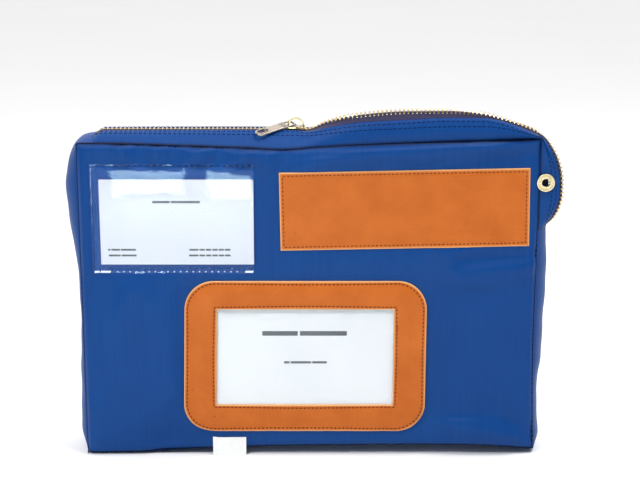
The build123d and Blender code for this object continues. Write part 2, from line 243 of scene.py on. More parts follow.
def thicken(piece, thickness=SHEET, offset=0.0):
    solid = piece.modifiers.new("thickness", "SOLIDIFY")
    solid.thickness = thickness * MM
    solid.offset = offset
    solid.use_rim = True
    apply_modifiers(piece)
    piece.data.shade_smooth()
    piece.data.set_sharp_from_angle(angle=radians(SHARP_ANGLE))
    return piece


def finish_piece(piece, body, material, replaced=()):
    piece.data.materials.clear()
    piece.data.materials.append(material)
    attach(piece, body)
    if replaced:
        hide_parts(*replaced)
    return piece


# ---------------------------------------------------------------- materials


def add(tree, kind, inputs=None, **settings):
    node = tree.nodes.new(kind)
    for key, value in settings.items():
        setattr(node, key, value)
    for key, value in (inputs or {}).items():
        if isinstance(value, bpy.types.NodeSocket):
            tree.links.new(value, node.inputs[key])
        else:
            node.inputs[key].default_value = value
    return node


def math_node(tree, operation, first, second=0.0):
    return add(tree, "ShaderNodeMath", {0: first, 1: second}, operation=operation).outputs[0]


def colour_mix(tree, share, first, second):
    node = add(tree, "ShaderNodeMix", {0: share, 6: first, 7: second}, data_type="RGBA")
    return node.outputs[2]


def ramp(tree, value, low, high):
    """Stretches low..high of a value to 0..1."""
    inputs = {"Value": value, "From Min": low, "From Max": high}
    return add(tree, "ShaderNodeMapRange", inputs).outputs["Result"]


def paint(tree, shader, colour):
    tree.links.new(colour, shader.inputs["Base Color"])


def scaled(tree, value, factor):
    return math_node(tree, "MULTIPLY", value, factor)


def edge_share(tree):
    return add(tree, "ShaderNodeAttribute", attribute_name="edge").outputs["Fac"]


def rgba(red, green, blue):
    return (red, green, blue, 1.0)


def start_material(name, roughness, **sockets):
    """A material with a Principled shader, and its object coordinates in millimetres."""
    material = bpy.data.materials.new(name)
    material.use_nodes = True
    tree = material.node_tree
    shader = tree.nodes["Principled BSDF"]
    shader.inputs["Roughness"].default_value = roughness
    for key, value in sockets.items():
        shader.inputs[key.replace("_", " ")].default_value = value
    place = add(tree, "ShaderNodeTexCoord")
    in_mm = add(tree, "ShaderNodeVectorMath", {0: place.outputs["Object"], 3: 1 / MM}, operation="SCALE")
    return material, tree, shader, in_mm.outputs[0]


def noise(tree, vector, scale, detail=3.0, roughness=0.55):
    inputs = {"Vector": vector, "Scale": scale, "Detail": detail, "Roughness": roughness}
    return add(tree, "ShaderNodeTexNoise", inputs).outputs["Fac"]


def bump(tree, shader, height, strength, depth_mm):
    inputs = {"Height": height, "Strength": strength, "Distance": depth_mm * MM}
    node = add(tree, "ShaderNodeBump", inputs)
    tree.links.new(node.outputs[0], shader.inputs["Normal"])


def stretched(tree, vector, scale):
    return add(tree, "ShaderNodeVectorMath", {0: vector, 1: scale}, operation="MULTIPLY").outputs[0]


def weave_height(tree, uv, pitch):
    """Threads over and under each other, from coordinates in millimetres."""
    parts = add(tree, "ShaderNodeSeparateXYZ", {0: uv})
    warp = math_node(tree, "SINE", scaled(tree, parts.outputs[0], 2 * pi / pitch))
    weft = math_node(tree, "SINE", scaled(tree, parts.outputs[1], 2 * pi / pitch))
    return math_node(tree, "ADD", math_node(tree, "MULTIPLY", warp, weft), math_node(tree, "ABSOLUTE", warp))


def nylon_material():
    """Coated blue nylon: fine weave, upright streaks in the coating, soft wear, and painted shade darkening
    the seam creases.
    """
    material, tree, shader, place = start_material(
        "blue_nylon", 0.45, Specular_IOR_Level=0.13, Sheen_Weight=0.02, Sheen_Tint=rgba(0.3, 0.6, 1.0))
    uv = add(tree, "ShaderNodeUVMap", uv_map="cloth").outputs[0]
    streaks = noise(tree, stretched(tree, uv, (0.55, 0.02, 1.0)), 1.0, 4.0)
    clouds = noise(tree, place, 0.018, 4.0)
    weave = weave_height(tree, uv, 0.8)
    shade = math_node(tree, "ADD", scaled(tree, streaks, 0.5),
                      scaled(tree, clouds, 0.5))
    thread_shade = scaled(tree, weave, 0.04)
    shade = ramp(tree, math_node(tree, "ADD", shade, thread_shade), 0.25, 0.8)
    colour = colour_mix(tree, shade, rgba(0.0015, 0.037, 0.182), rgba(0.003, 0.057, 0.240))
    # Painted shade: near the seams the colour turns almost black, as if the crease were in shadow.
    colour = colour_mix(tree, edge_share(tree), colour, rgba(0.0006, 0.005, 0.032))
    paint(tree, shader, colour)
    tree.links.new(ramp_between(tree, clouds, 0.34, 0.50), shader.inputs["Roughness"])
    height = math_node(tree, "ADD", weave, scaled(tree, streaks, 1.5))
    bump(tree, shader, height, 0.22, 0.12)
    return material


def ramp_between(tree, value, low, high):
    """Turns a 0..1 value into low..high."""
    inputs = {"Value": value, "To Min": low, "To Max": high}
    return add(tree, "ShaderNodeMapRange", inputs).outputs["Result"]


def leather_material():
    """Tan leather: pebbled grain, cloudy dye, a few dark specks, and a lighter cut edge that is partly the
    raw edge's own colour and partly a painted highlight.
    """
    material, tree, shader, place = start_material("tan_leather", 0.5, Specular_IOR_Level=0.2)
    clouds = noise(tree, place, 0.045, 5.0)
    grain = add(tree, "ShaderNodeTexVoronoi", {"Vector": place, "Scale": 1.5}, feature="SMOOTH_F1")
    fine = noise(tree, place, 2.2, 4.0)
    dye = ramp(tree, clouds, 0.3, 0.7)
    colour = colour_mix(tree, dye, rgba(0.475, 0.104, 0.008), rgba(0.575, 0.142, 0.016))
    colour = colour_mix(tree, ramp(tree, fine, 0.45, 0.8), colour, rgba(0.45, 0.092, 0.008))
    specks = ramp(tree, noise(tree, place, 0.33, 2.0), 0.735, 0.765)
    colour = colour_mix(tree, specks, colour, rgba(0.20, 0.045, 0.01))
    # Lighter near the cut edges: partly the raw edge's own colour, partly a painted highlight on the bevel.
    colour = colour_mix(tree, edge_share(tree), colour, rgba(0.80, 0.42, 0.17))
    paint(tree, shader, colour)
    tree.links.new(ramp_between(tree, fine, 0.38, 0.58), shader.inputs["Roughness"])
    height = math_node(tree, "ADD", grain.outputs["Distance"], scaled(tree, fine, 0.6))
    bump(tree, shader, height, 0.35, 0.18)
    return material


def metal_material(name, light, dark, roughness):
    """Polished metal with faint rub marks, darker and duller in patches."""
    material, tree, shader, place = start_material(name, roughness, Metallic=1.0)
    rub = noise(tree, stretched(tree, place, (0.6, 2.5, 2.5)), 1.0, 5.0)
    paint(tree, shader, colour_mix(tree, ramp(tree, rub, 0.35, 0.7), light, dark))
    tree.links.new(ramp_between(tree, rub, roughness * 0.75, roughness * 1.35), shader.inputs["Roughness"])
    bump(tree, shader, rub, 0.08, 0.05)
    return material


def tape_material():
    """Dark zip tape in a herringbone weave."""
    material, tree, shader, place = start_material("zip_tape", 0.75, Sheen_Weight=0.2)
    uv = add(tree, "ShaderNodeUVMap", uv_map="cloth").outputs[0]
    parts = add(tree, "ShaderNodeSeparateXYZ", {0: uv})
    zigzag = math_node(tree, "PINGPONG", parts.outputs[0], 0.9)
    slant = math_node(tree, "ADD", scaled(tree, zigzag, 1.2), parts.outputs[1])
    herringbone = math_node(tree, "SINE", scaled(tree, slant, 2 * pi / 0.9))
    fuzz = noise(tree, place, 1.4, 4.0)
    share = ramp(tree, math_node(tree, "ADD", herringbone, fuzz), -0.8, 1.8)
    colour = colour_mix(tree, share, rgba(0.016, 0.012, 0.045), rgba(0.050, 0.042, 0.125))
    paint(tree, shader, colour)
    bump(tree, shader, herringbone, 0.4, 0.12)
    return material


def thread_material(name, dark, light):
    """Twisted thread: bands of twist along short stitches."""
    material, tree, shader, place = start_material(name, 0.7, Specular_IOR_Level=0.1)
    twist = noise(tree, place, 2.6, 3.0)
    paint(tree, shader, colour_mix(tree, ramp(tree, twist, 0.35, 0.65), dark, light))
    bump(tree, shader, twist, 0.3, 0.08)
    return material


def card_material(name, dark, light):
    """White card with paper fibre."""
    material, tree, shader, place = start_material(name, 0.5)
    fibre = noise(tree, place, 0.8, 6.0)
    wash = noise(tree, place, 0.02, 3.0)
    colour = colour_mix(tree, ramp(tree, wash, 0.3, 0.7), dark, light)
    paint(tree, shader, colour)
    bump(tree, shader, fibre, 0.08, 0.05)
    return material


def ink_material():
    material, tree, shader, place = start_material("printing_ink", 0.55)
    wear = noise(tree, place, 1.8, 4.0)
    colour = colour_mix(tree, ramp(tree, wear, 0.4, 0.7), rgba(0.035, 0.035, 0.04), rgba(0.16, 0.16, 0.17))
    paint(tree, shader, colour)
    return material


def label_material():
    """White woven satin ribbon."""
    material, tree, shader, place = start_material("label", 0.5, Sheen_Weight=0.4)
    uv = add(tree, "ShaderNodeUVMap", uv_map="cloth").outputs[0]
    weave = weave_height(tree, uv, 0.5)
    clouds = noise(tree, place, 0.2, 3.0)
    paint(tree, shader, colour_mix(tree, clouds, rgba(0.80, 0.80, 0.80), rgba(0.90, 0.90, 0.89)))
    bump(tree, shader, weave, 0.25, 0.08)
    return material


def film_material():
    """Clear glossy film. Lamps shine through it, so what is behind it stays lit."""
    material, tree, shader, place = start_material(
        "clear_film", 0.05, Transmission_Weight=1.0, IOR=1.22)
    haze = noise(tree, place, 0.12, 4.0)
    colour = colour_mix(tree, haze, rgba(0.93, 0.965, 0.985), rgba(0.98, 0.99, 1.0))
    paint(tree, shader, colour)
    tree.links.new(ramp_between(tree, haze, 0.005, 0.03), shader.inputs["Roughness"])
    bump(tree, shader, haze, 0.1, 0.2)
    path = add(tree, "ShaderNodeLightPath")
    clear = add(tree, "ShaderNodeBsdfTransparent", {"Color": rgba(0.96, 0.98, 1.0)})
    passing = add(tree, "ShaderNodeMixShader", {0: path.outputs["Is Shadow Ray"], 1: shader.outputs[0],
                                               2: clear.outputs[0]})
    tree.links.new(passing.outputs[0], tree.nodes["Material Output"].inputs["Surface"])
    return material


def floor_material():
    material, tree, shader, place = start_material("floor", 0.9)
    tone = noise(tree, place, 0.002, 2.0)
    paint(tree, shader, colour_mix(tree, tone, rgba(0.93, 0.93, 0.93), rgba(0.96, 0.96, 0.96)))
    return material


NYLON = nylon_material()
LEATHER = leather_material()
BRASS = metal_material("brass", rgba(0.82, 0.67, 0.38), rgba(0.48, 0.33, 0.15), 0.26)
PULL_METAL = metal_material("pull_brass", rgba(0.58, 0.51, 0.43), rgba(0.34, 0.28, 0.23), 0.3)
EYELET_METAL = metal_material("eyelet_brass", rgba(0.93, 0.82, 0.55), rgba(0.70, 0.56, 0.33), 0.34)
SLIDER_METAL = metal_material("slider_brass", rgba(0.50, 0.39, 0.22), rgba(0.20, 0.14, 0.07), 0.24)
TAPE = tape_material()
NAVY_THREAD = thread_material("navy_thread", rgba(0.002, 0.004, 0.022), rgba(0.005, 0.012, 0.055))
BROWN_THREAD = thread_material("brown_thread", rgba(0.085, 0.014, 0.004), rgba(0.17, 0.034, 0.010))
# Pale thread; on the pocket's lower stitches its colour is a painted highlight.
PALE_THREAD_AND_HIGHLIGHT = thread_material("pale_thread_and_highlight", rgba(0.62, 0.70, 0.80), rgba(0.85, 0.90, 0.95))
BUSINESS_CARD = card_material("business_card", rgba(0.515, 0.50, 0.55), rgba(0.555, 0.535, 0.58))
ADDRESS_CARD = card_material("address_card", rgba(0.64, 0.60, 0.61), rgba(0.68, 0.635, 0.64))
INK = ink_material()
LABEL = label_material()
FILM = film_material()

# ---------------------------------------------------------------- stitches

STITCH_SIDES = 6
# Rings along a stitch: place along its length, girth and rise over the cloth.
STITCH_RINGS = ((-0.5, 0.35, -0.6), (-0.36, 0.85, 0.1), (0.0, 1.0, 0.5), (0.36, 0.85, 0.1), (0.5, 0.35, -0.6))


def stitches(name, rows, length, radius, material, body="bag"):
    """Short plump threads that dip into the cloth at both ends. A row is (places, directions, normals)."""
    points = []
    faces = []
    turn = np.linspace(0, 2 * pi, STITCH_SIDES, endpoint=False)
    for places, directions, normals in rows:
        sideways = unit(np.cross(directions, normals))
        for place, direction, normal, side in zip(places, directions, normals, sideways):
            first = len(points)
            for reach, girth, rise in STITCH_RINGS:
                centre = place + direction * reach * length + normal * rise * radius
                for angle in turn:
                    points.append(centre + (side * cos(angle) + normal * sin(angle)) * girth * radius)
            faces += closed_tube_faces(first, len(STITCH_RINGS), STITCH_SIDES)
    return finish_piece(mesh_object(name, points, faces), body, material)


def row_along(points, normals, pitch, first=0.0):
    """A stitch row along a path whose points have known normals."""
    places, directions, at = evenly(points, pitch, first)
    return places, directions, unit(read_along(at, lengths_along(points), normals))


# ---------------------------------------------------------------- panels

# Edges of the front panel: height of its top seam and of its bottom seam across the width.
TOP_SEAM = ((-141, 199.9), (-110, 199.4), (-80, 198.4), (-40, 197.0), (-17, 195.9), (6, 197.4), (24, 198.4),
            (76, 200.4), (141, 202.3))
BOTTOM_SEAM = ((-141, 0.8), (-115, 1.1), (-92, 2.3), (-62, 4.0), (-40, 4.8), (-10, 5.5), (25, 5.8), (65, 6.1),
               (97, 6.0), (125, 4.8), (141, 3.4))
BACK_TOP_SEAM = ((-141, 199.9), (-80, 198.8), (-17, 197.0), (30, 198.4), (90, 200.0), (141, 201.5))
BACK_BOTTOM_SEAM = ((-141, 1.0), (-90, 2.6), (-10, 4.4), (70, 4.6), (120, 3.4), (141, 2.0))

# Soft ridges and hollows of the front panel: ends (x, z), half width, height.
FRONT_PUCKERS = (
    ((-114, 198), (-111, 190), 4.0, 2.2),
    ((-104, 196), (-99, 191), 4.0, -1.2),
    ((-92, 198), (-93, 192), 3.6, 2.4),
    ((-82, 196), (-78, 191), 4.0, -1.4),
    ((-66, 196), (-72, 190), 5.0, 2.6),
    ((-54, 195), (-55, 190), 4.0, -1.6),
    ((-38, 196), (-43, 189), 4.5, 2.4),
    ((-25, 193), (-27, 124), 4.0, 1.4),
    ((-30, 150), (-31, 128), 2.5, -0.8),
    ((-14, 194), (-21, 180), 4.0, -2.0),
    ((-6, 186), (26, 192), 4.5, 3.0),
    ((30, 193), (96, 196), 4.2, 2.8),
    ((96, 195), (134, 200), 3.4, 2.2),
    ((60, 187), (136, 191), 3.0, -1.6),
    ((139, 178), (137, 122), 2.2, 1.4),
    ((78, 131), (134, 137), 3.2, 1.8),
    ((94, 124), (138, 128), 3.4, -1.6),
    ((104, 118), (139, 121), 3.0, 1.4),
    ((100, 100), (136, 96), 5.0, 1.0),
    ((139, 8), (114, 32), 4.5, -2.2),
    ((139, 22), (124, 40), 3.0, 1.6),
    ((128, 9), (96, 12), 4.0, 1.8),
    ((-92, 7), (-72, 10), 6.0, -2.2),
    ((-134, 10), (-118, 58), 5.0, 2.0),
    ((-112, 104), (-124, 60), 6.0, 1.6),
    ((-138, 190), (-137, 120), 2.5, 1.4),
    ((-104, 106), (-88, 40), 9.0, 1.4),
    ((-80, 112), (-50, 116), 3.0, 0.8),
)
PUCKER_STRENGTH = 2.2
BACK_PUCKERS = (
    ((-120, 196), (-90, 160), 7.0, 2.0),
    ((-60, 196), (-52, 150), 6.0, 1.6),
    ((-10, 195), (-6, 140), 7.0, -1.8),
    ((40, 196), (30, 150), 6.0, 1.8),
    ((135, 195), (90, 150), 8.0, 2.4),
    ((-136, 6), (-95, 50), 8.0, 2.2),
    ((136, 6), (90, 48), 8.0, 2.4),
    ((-30, 6), (-24, 60), 8.0, -1.6),
    ((50, 6), (46, 50), 7.0, 1.4),
    ((0, 100), (60, 90), 20.0, 2.0),
)


def seam_height(seam, x):
    knots, heights = zip(*seam)
    return smooth(knots, heights, x)


def pucker_relief(puckers, x, z):
    relief = np.zeros(np.broadcast(x, z).shape)
    for (start_x, start_z), (end_x, end_z), width, height in puckers:
        run = np.array([end_x - start_x, end_z - start_z], float)
        share = np.clip(((x - start_x) * run[0] + (z - start_z) * run[1]) / (run @ run), 0, 1)
        off = np.hypot(x - start_x - share * run[0], z - start_z - share * run[1])
        relief += height * np.exp(-(off / width) ** 2)
    return relief


def inside(low, high, x, z, margin, fade):
    """1 inside a node's outline and margin, falling to 0 over the fade."""
    across = np.minimum(x - low[0], high[0] - x) + margin
    upright = np.minimum(z - low[2], high[2] - z) + margin
    return soft_step(np.minimum(across, upright) / fade + 1)


def held_flat(x, z):
    """Where the pieces sewn on the front keep the cloth flat, from 0 to 1."""
    pieces = ((POCKET_LOW, POCKET_HIGH), (PATCH_LOW, PATCH_HIGH), (FRAME_LOW, FRAME_HIGH))
    return np.maximum.reduce([inside(low, high, x, z, 0.5, 4.0) for low, high in pieces])


CLOTH_SCALE = 10.0
CLOTH_CELL = 4.0
CLOTH_FRAMES = 24
CLOTH_LIMIT = 4.0
CLOTH_INWARD = 1.2
CLOTH_GRAVITY = 0.25
CLOTH_SETTINGS = {
    "quality": 5,
    "mass": 0.25,
    "tension_stiffness": 20,
    "compression_stiffness": 20,
    "shear_stiffness": 10,
    "bending_stiffness": 2.0,
    "shrink_min": -0.006,
    "use_pressure": True,
}


def settle_cloth(name, relief_of, hold_of, pressure):
    """Lets an upright sheet held at its seams settle as cloth. Returns its grid and how far it stands out.

    The sheet is settled at ten times its size, where the cloth solver's springs behave best.
    """
    xs = np.linspace(-HALF_WIDTH, HALF_WIDTH, round(2 * HALF_WIDTH / CLOTH_CELL))
    zs = np.linspace(0, PANEL_TOP, round(PANEL_TOP / CLOTH_CELL))
    across, upright = np.meshgrid(xs, zs)
    hold = hold_of(across, upright)
    relief = relief_of(across, upright) * (1 - hold)
    sheet = grid_object(name, np.stack([across, -relief, upright], axis=-1) * CLOTH_SCALE)
    rim = np.zeros(across.shape, bool)
    rim[[0, -1]] = True
    rim[:, [0, -1]] = True
    pinned = np.flatnonzero((rim | (hold > 0.95)).ravel())
    group = sheet.vertex_groups.new(name="sewn")
    group.add(pinned.tolist(), 1.0, "REPLACE")
    cloth = sheet.modifiers.new("cloth", "CLOTH")
    cloth.settings.vertex_group_mass = group.name
    for setting, value in CLOTH_SETTINGS.items():
        setattr(cloth.settings, setting, value)
    cloth.settings.uniform_pressure_force = pressure
    cloth.settings.effector_weights.gravity = CLOTH_GRAVITY
    cloth.collision_settings.use_collision = False
    cloth.point_cache.frame_end = CLOTH_FRAMES
    scene = bpy.context.scene
    for frame_number in range(1, CLOTH_FRAMES + 1):
        scene.frame_set(frame_number)
    settled = sheet.evaluated_get(bpy.context.evaluated_depsgraph_get()).data
    places = np.empty(len(settled.vertices) * 3)
    settled.vertices.foreach_get("co", places)
    stands_out = -places.reshape(-1, 3)[:, 1].reshape(across.shape) / MM / CLOTH_SCALE
    scene.frame_set(1)
    bpy.data.objects.remove(sheet)
    return xs, zs, np.clip(stands_out, -CLOTH_INWARD, CLOTH_LIMIT) * (1 - hold)


def sampled(field, x, z):
    """Smoothly reads a settled sheet's relief at any place."""
    xs, zs, relief = field
    column = np.clip((x - xs[0]) / (xs[1] - xs[0]), 0, len(xs) - 1.001)
    row = np.clip((z - zs[0]) / (zs[1] - zs[0]), 0, len(zs) - 1.001)
    left, low = column.astype(int), row.astype(int)
    across, up = soft_step(column - left), soft_step(row - low)
    bottom = relief[low, left] * (1 - across) + relief[low, left + 1] * across
    top = relief[low + 1, left] * (1 - across) + relief[low + 1, left + 1] * across
    return bottom * (1 - up) + top * up


def blurred(field, passes):
    xs, zs, relief = field
    for _ in range(passes):
        padded = np.pad(relief, 1, mode="edge")
        relief = (padded[1:-1, 1:-1] * 4 + padded[:-2, 1:-1] + padded[2:, 1:-1]
                  + padded[1:-1, :-2] + padded[1:-1, 2:]) / 8
    return xs, zs, relief


ADDRESS_SWEEP = 0.15
BUSINESS_SWEEP = 0.8


def card_room(x, z):
    """How far the front may stand out before a card that slides over it would cut in.

    Each area is a few cells of the cloth's grid wider than the card's own way.
    """
    right_of_frame = (x > FRAME_HIGH[0] - 6) & (z > ADDRESS_LOW[2] - 14) & (z < ADDRESS_HIGH[2] + 10)
    beside_pocket = (x > POCKET_HIGH[0] - 3) & (x < PATCH_LOW[0] + 3)
    right_of_pocket = beside_pocket & (z > CARD_LOW[2] - 9) & (z < CARD_HIGH[2] + 9)
    room = np.full(np.shape(x), CLOTH_LIMIT)
    room[right_of_frame] = ADDRESS_SWEEP
    room[right_of_pocket] = BUSINESS_SWEEP
    return room


def front_relief(x, z):
    return PUCKER_STRENGTH * pucker_relief(FRONT_PUCKERS, x, z)


def back_relief(x, z):
    return pucker_relief(BACK_PUCKERS, x, z)


def limited(field, room_of):
    xs, zs, relief = field
    across, upright = np.meshgrid(xs, zs)
    return xs, zs, np.minimum(relief, room_of(across, upright))


def held_nowhere(x, z):
    return np.zeros(x.shape)


def settled_front():
    """The front cloth, kept low where the cards slide and softened round those places."""
    field = limited(settle_cloth("front_cloth", front_relief, held_flat, FRONT_PRESSURE), card_room)
    return limited(blurred(field, 1), card_room)


FRONT_PRESSURE = 0.6
BACK_PRESSURE = 1.2
FRONT_FIELD = settled_front()
BACK_FIELD = blurred(settle_cloth("back_cloth", back_relief, held_nowhere, BACK_PRESSURE), 1)


def panel_grid(side, field, top_seam, bottom_seam):
    """Middle surface of a panel and its nearness to a seam; side is -1 in front and 1 behind."""
    xs = close_spaced((-HALF_WIDTH, HALF_WIDTH), 0.45, 2.0)
    shares = close_spaced((0, PANEL_TOP), 0.45, 2.0) / PANEL_TOP
    across, share = np.meshgrid(xs, shares)
    low = np.tile(seam_height(bottom_seam, xs), (len(shares), 1))
    high = np.tile(seam_height(top_seam, xs), (len(shares), 1))
    upright = low + (high - low) * share
    relief = sampled(field, across, share * PANEL_TOP)
    to_side = HALF_WIDTH - np.abs(across)
    to_end = np.minimum(upright - low, high - upright)
    crease = CREASE_DEPTH * near_edge(np.minimum(to_side, to_end), CREASE_WIDTH)
    out = side * (HALF_DEPTH + relief - crease)
    # Nearness to a seam; the nylon paints it as shade in the crease.
    edge = np.maximum(near_edge(to_side, SIDE_SEAM_SHADE), near_edge(to_end, SEAM_SHADE))
    return np.stack([across, out, upright], axis=-1), edge


def make_panel(name, side, field, top_seam, bottom_seam):
    points, edge = panel_grid(side, field, top_seam, bottom_seam)
    panel = thicken(grid_object(name, points, flip=side > 0, edge=edge))
    finish_piece(panel, "bag", NYLON, [name])


make_panel("front_panel", -1, FRONT_FIELD, TOP_SEAM, BOTTOM_SEAM)
make_panel("back_panel", 1, BACK_FIELD, BACK_TOP_SEAM, BACK_BOTTOM_SEAM)


def front_y(x, z):
    """The front panel's outer surface at a place on it."""
    x, z = np.asarray(x, float), np.asarray(z, float)
    low, high = seam_height(BOTTOM_SEAM, x.ravel()), seam_height(TOP_SEAM, x.ravel())
    share = (z.ravel() - low) / (high - low)
    relief = sampled(FRONT_FIELD, x.ravel(), share * PANEL_TOP)
    return (PANEL_Y - relief - SHEET / 2).reshape(x.shape)


# ---------------------------------------------------------------- gussets

# Stations along a gusset: its edge (x, z) at both panels and its middle (x, z).
LEFT_GUSSET = (
    ((-141, 1.0), (-141.8, 0.6)),
    ((-141, 15), (-146.2, 15)),
    ((-141, 40), (-145.6, 40)),
    ((-141, 66), (-144.6, 66)),
    ((-141, 92), (-143.8, 92)),
    ((-141, 117), (-144.2, 117)),
    ((-141, 138), (-147.4, 138)),
    ((-141, 158), (-149.4, 158)),
    ((-141, 173), (-150.3, 173)),
    ((-141, 184), (-149.0, 184)),
    ((-141, 193), (-145.6, 194)),
    ((-140.6, 199.7), (-141.2, 200.4)),
    ((-136, 199.9), (-136.4, 202.6)),
    ((-131, 199.8), (-131, 203.4)),
)
RIGHT_GUSSET = (
    ((141, 3.0), (142.2, 0.6)),
    ((141, 12), (146.0, 12)),
    ((141, 30), (145.6, 30)),
    ((141, 50), (146.2, 50)),
    ((141, 62), (148.2, 62)),
    ((141, 84), (149.0, 84)),
    ((141, 120), (149.6, 120)),
    ((141, 138), (149.0, 138)),
    ((141, 146.2), (148.0, 147.2)),
)
RIPPLE = 0.35


def gusset_grid(stations, step=2.0):
    """Strip that bows out between the front and the back seam, and its nearness to them."""
    edges = np.array([edge for edge, middle in stations], float)
    middles = np.array([middle for edge, middle in stations], float)
    knots = lengths_along(middles)
    at = np.linspace(0, knots[-1], max(3, round(knots[-1] / step)))
    edge = smooth(knots, edges, at)[:, None]
    middle = smooth(knots, middles, at)[:, None]
    share = close_spaced((0, 2 * HALF_DEPTH), 0.4, 1.8) / (2 * HALF_DEPTH)
    bow = (1 - np.abs(2 * share - 1) ** 2.3)[None, :, None]
    to_seam = np.minimum(share, 1 - share) * 2 * HALF_DEPTH
    tuck = GUSSET_TUCK * near_edge(to_seam, CREASE_WIDTH)
    profile = edge + (middle - edge) * bow
    towards_bag = np.sign(-edge[..., :1])
    profile[..., 0] += (towards_bag[..., 0] * tuck[None, :])
    ripple = RIPPLE * np.sin(at / 5.1)[:, None] * np.sin(at / 13.7 + 1.0)[:, None] * bow[..., 0]
    profile[..., 0] -= towards_bag[..., 0] * ripple
    depth = -HALF_DEPTH + CREASE_DEPTH + share * 2 * (HALF_DEPTH - CREASE_DEPTH)
    depth = np.broadcast_to(depth, profile.shape[:2])
    # Nearness to a seam; the nylon paints it as shade in the crease.
    edge = np.broadcast_to(near_edge(to_seam, SIDE_SEAM_SHADE), profile.shape[:2])
    return np.stack([profile[..., 0], depth, profile[..., 1]], axis=-1), edge


BOTTOM_SAG = 0.9


def bottom_grid():
    """Bottom strip: it sags a little between the front and the back seam."""
    xs = np.linspace(-HALF_WIDTH + GUSSET_TUCK, HALF_WIDTH - GUSSET_TUCK, 140)
    share = close_spaced((0, 2 * HALF_DEPTH), 0.4, 1.8) / (2 * HALF_DEPTH)
    front, back = seam_height(BOTTOM_SEAM, xs), seam_height(BACK_BOTTOM_SEAM, xs)
    seam = np.outer(1 - share, front) + np.outer(share, back)
    sag = BOTTOM_SAG * (1 - np.abs(2 * share - 1)[:, None] ** 3)
    height = np.maximum(seam - sag, SHEET / 2)
    depth = -HALF_DEPTH + CREASE_DEPTH + share * 2 * (HALF_DEPTH - CREASE_DEPTH)
    across, depth = np.meshgrid(xs, depth)
    to_seam = np.minimum(share, 1 - share)[:, None] * 2 * HALF_DEPTH
    # Nearness to a seam; the nylon paints it as shade in the crease.
    edge = np.broadcast_to(near_edge(to_seam, SEAM_SHADE), across.shape)
    return np.stack([across, depth, height], axis=-1), edge


def make_gusset(name, grid, flip):
    points, edge = grid
    gusset = thicken(grid_object(name, points, flip, edge))
    finish_piece(gusset, "bag", NYLON, [name])


make_gusset("left_gusset", gusset_grid(LEFT_GUSSET), True)
make_gusset("right_gusset", gusset_grid(RIGHT_GUSSET), False)
make_gusset("bottom_gusset", bottom_grid(), False)

# ---------------------------------------------------------------- zip halves

# Stations of a zip half from its start to the cross seam on the right side: the seam at the
# panel (x, z), the fold of the cloth and the toothed edge of the tape.
FRONT_HALF = (
    ((ZIP_START_X, 199.8), (ZIP_START_X, -5.0, 202.9), (ZIP_START_X, -CLOSED_EDGE, 203.0)),
    ((ZIP_BEND_X, 199.6), (ZIP_BEND_X, -CLOSED_FOLD, 205.8), (ZIP_BEND_X, -CLOSED_EDGE, ZIP_Z)),
    ((-40, 197.0), (-40, -CLOSED_FOLD, 206.2), (-40, -CLOSED_EDGE, ZIP_Z)),
    ((SLIDER_X, 196.3), (SLIDER_X, -CLOSED_FOLD, 205.8), (SLIDER_X, -CLOSED_EDGE, ZIP_Z)),
    ((SLIDER_MOUTH_X, 196.8), (SLIDER_MOUTH_X, -8.8, 205.5), (SLIDER_MOUTH_X, -MOUTH_EDGE, ZIP_Z)),
    ((12, 197.8), (12, -13.0, 208.2), (12, -9.6, 211.4)),
    ((30, 198.7), (30, -15.3, 211.4), (30, -13.8, 215.8)),
    ((60, 199.9), (60, -16.0, 213.2), (60, -14.6, 218.2)),
    ((85, 200.8), (85, -16.2, 214.4), (85, -14.8, 218.4)),
    ((105, 201.4), (105, -16.2, 214.3), (105, -14.4, 216.8)),
    ((116, 201.7), (116, -16.4, 212.8), (116, -14.0, 214.3)),
    ((128, 202.0), (128, -16.8, 209.0), (128.3, -14.2, 210.2)),
    ((137, 202.2), (137, -17.2, 205.4), (137.8, -14.2, 206.2)),
    ((HALF_WIDTH, 202.3), (142.2, -17.8, 202.8), (142.9, -15.4, 203.2)),
    ((HALF_WIDTH, 196), (146.4, -18.8, 196.4), (147.9, -16.9, 196.8)),
    ((HALF_WIDTH, 190), (149.4, -19.4, 190), (151.2, -17.9, 190.3)),
    ((HALF_WIDTH, 184), (151.4, -19.7, 184), (153.2, -18.3, 184.2)),
    ((HALF_WIDTH, 176), (152.7, -19.8, 176), (154.5, -18.4, 176)),
    ((HALF_WIDTH, 168), (152.9, -19.6, 168), (154.7, -18.2, 167.8)),
    ((HALF_WIDTH, 161), (151.8, -18.6, 161), (153.5, -17.1, 160.7)),
    ((HALF_WIDTH, 154), (149.6, -15.2, 154), (151.0, -13.0, 153.7)),
    ((HALF_WIDTH, 146.5), (147.2, -8.6, 147.6), (147.8, -2.6, 147.0)),
)
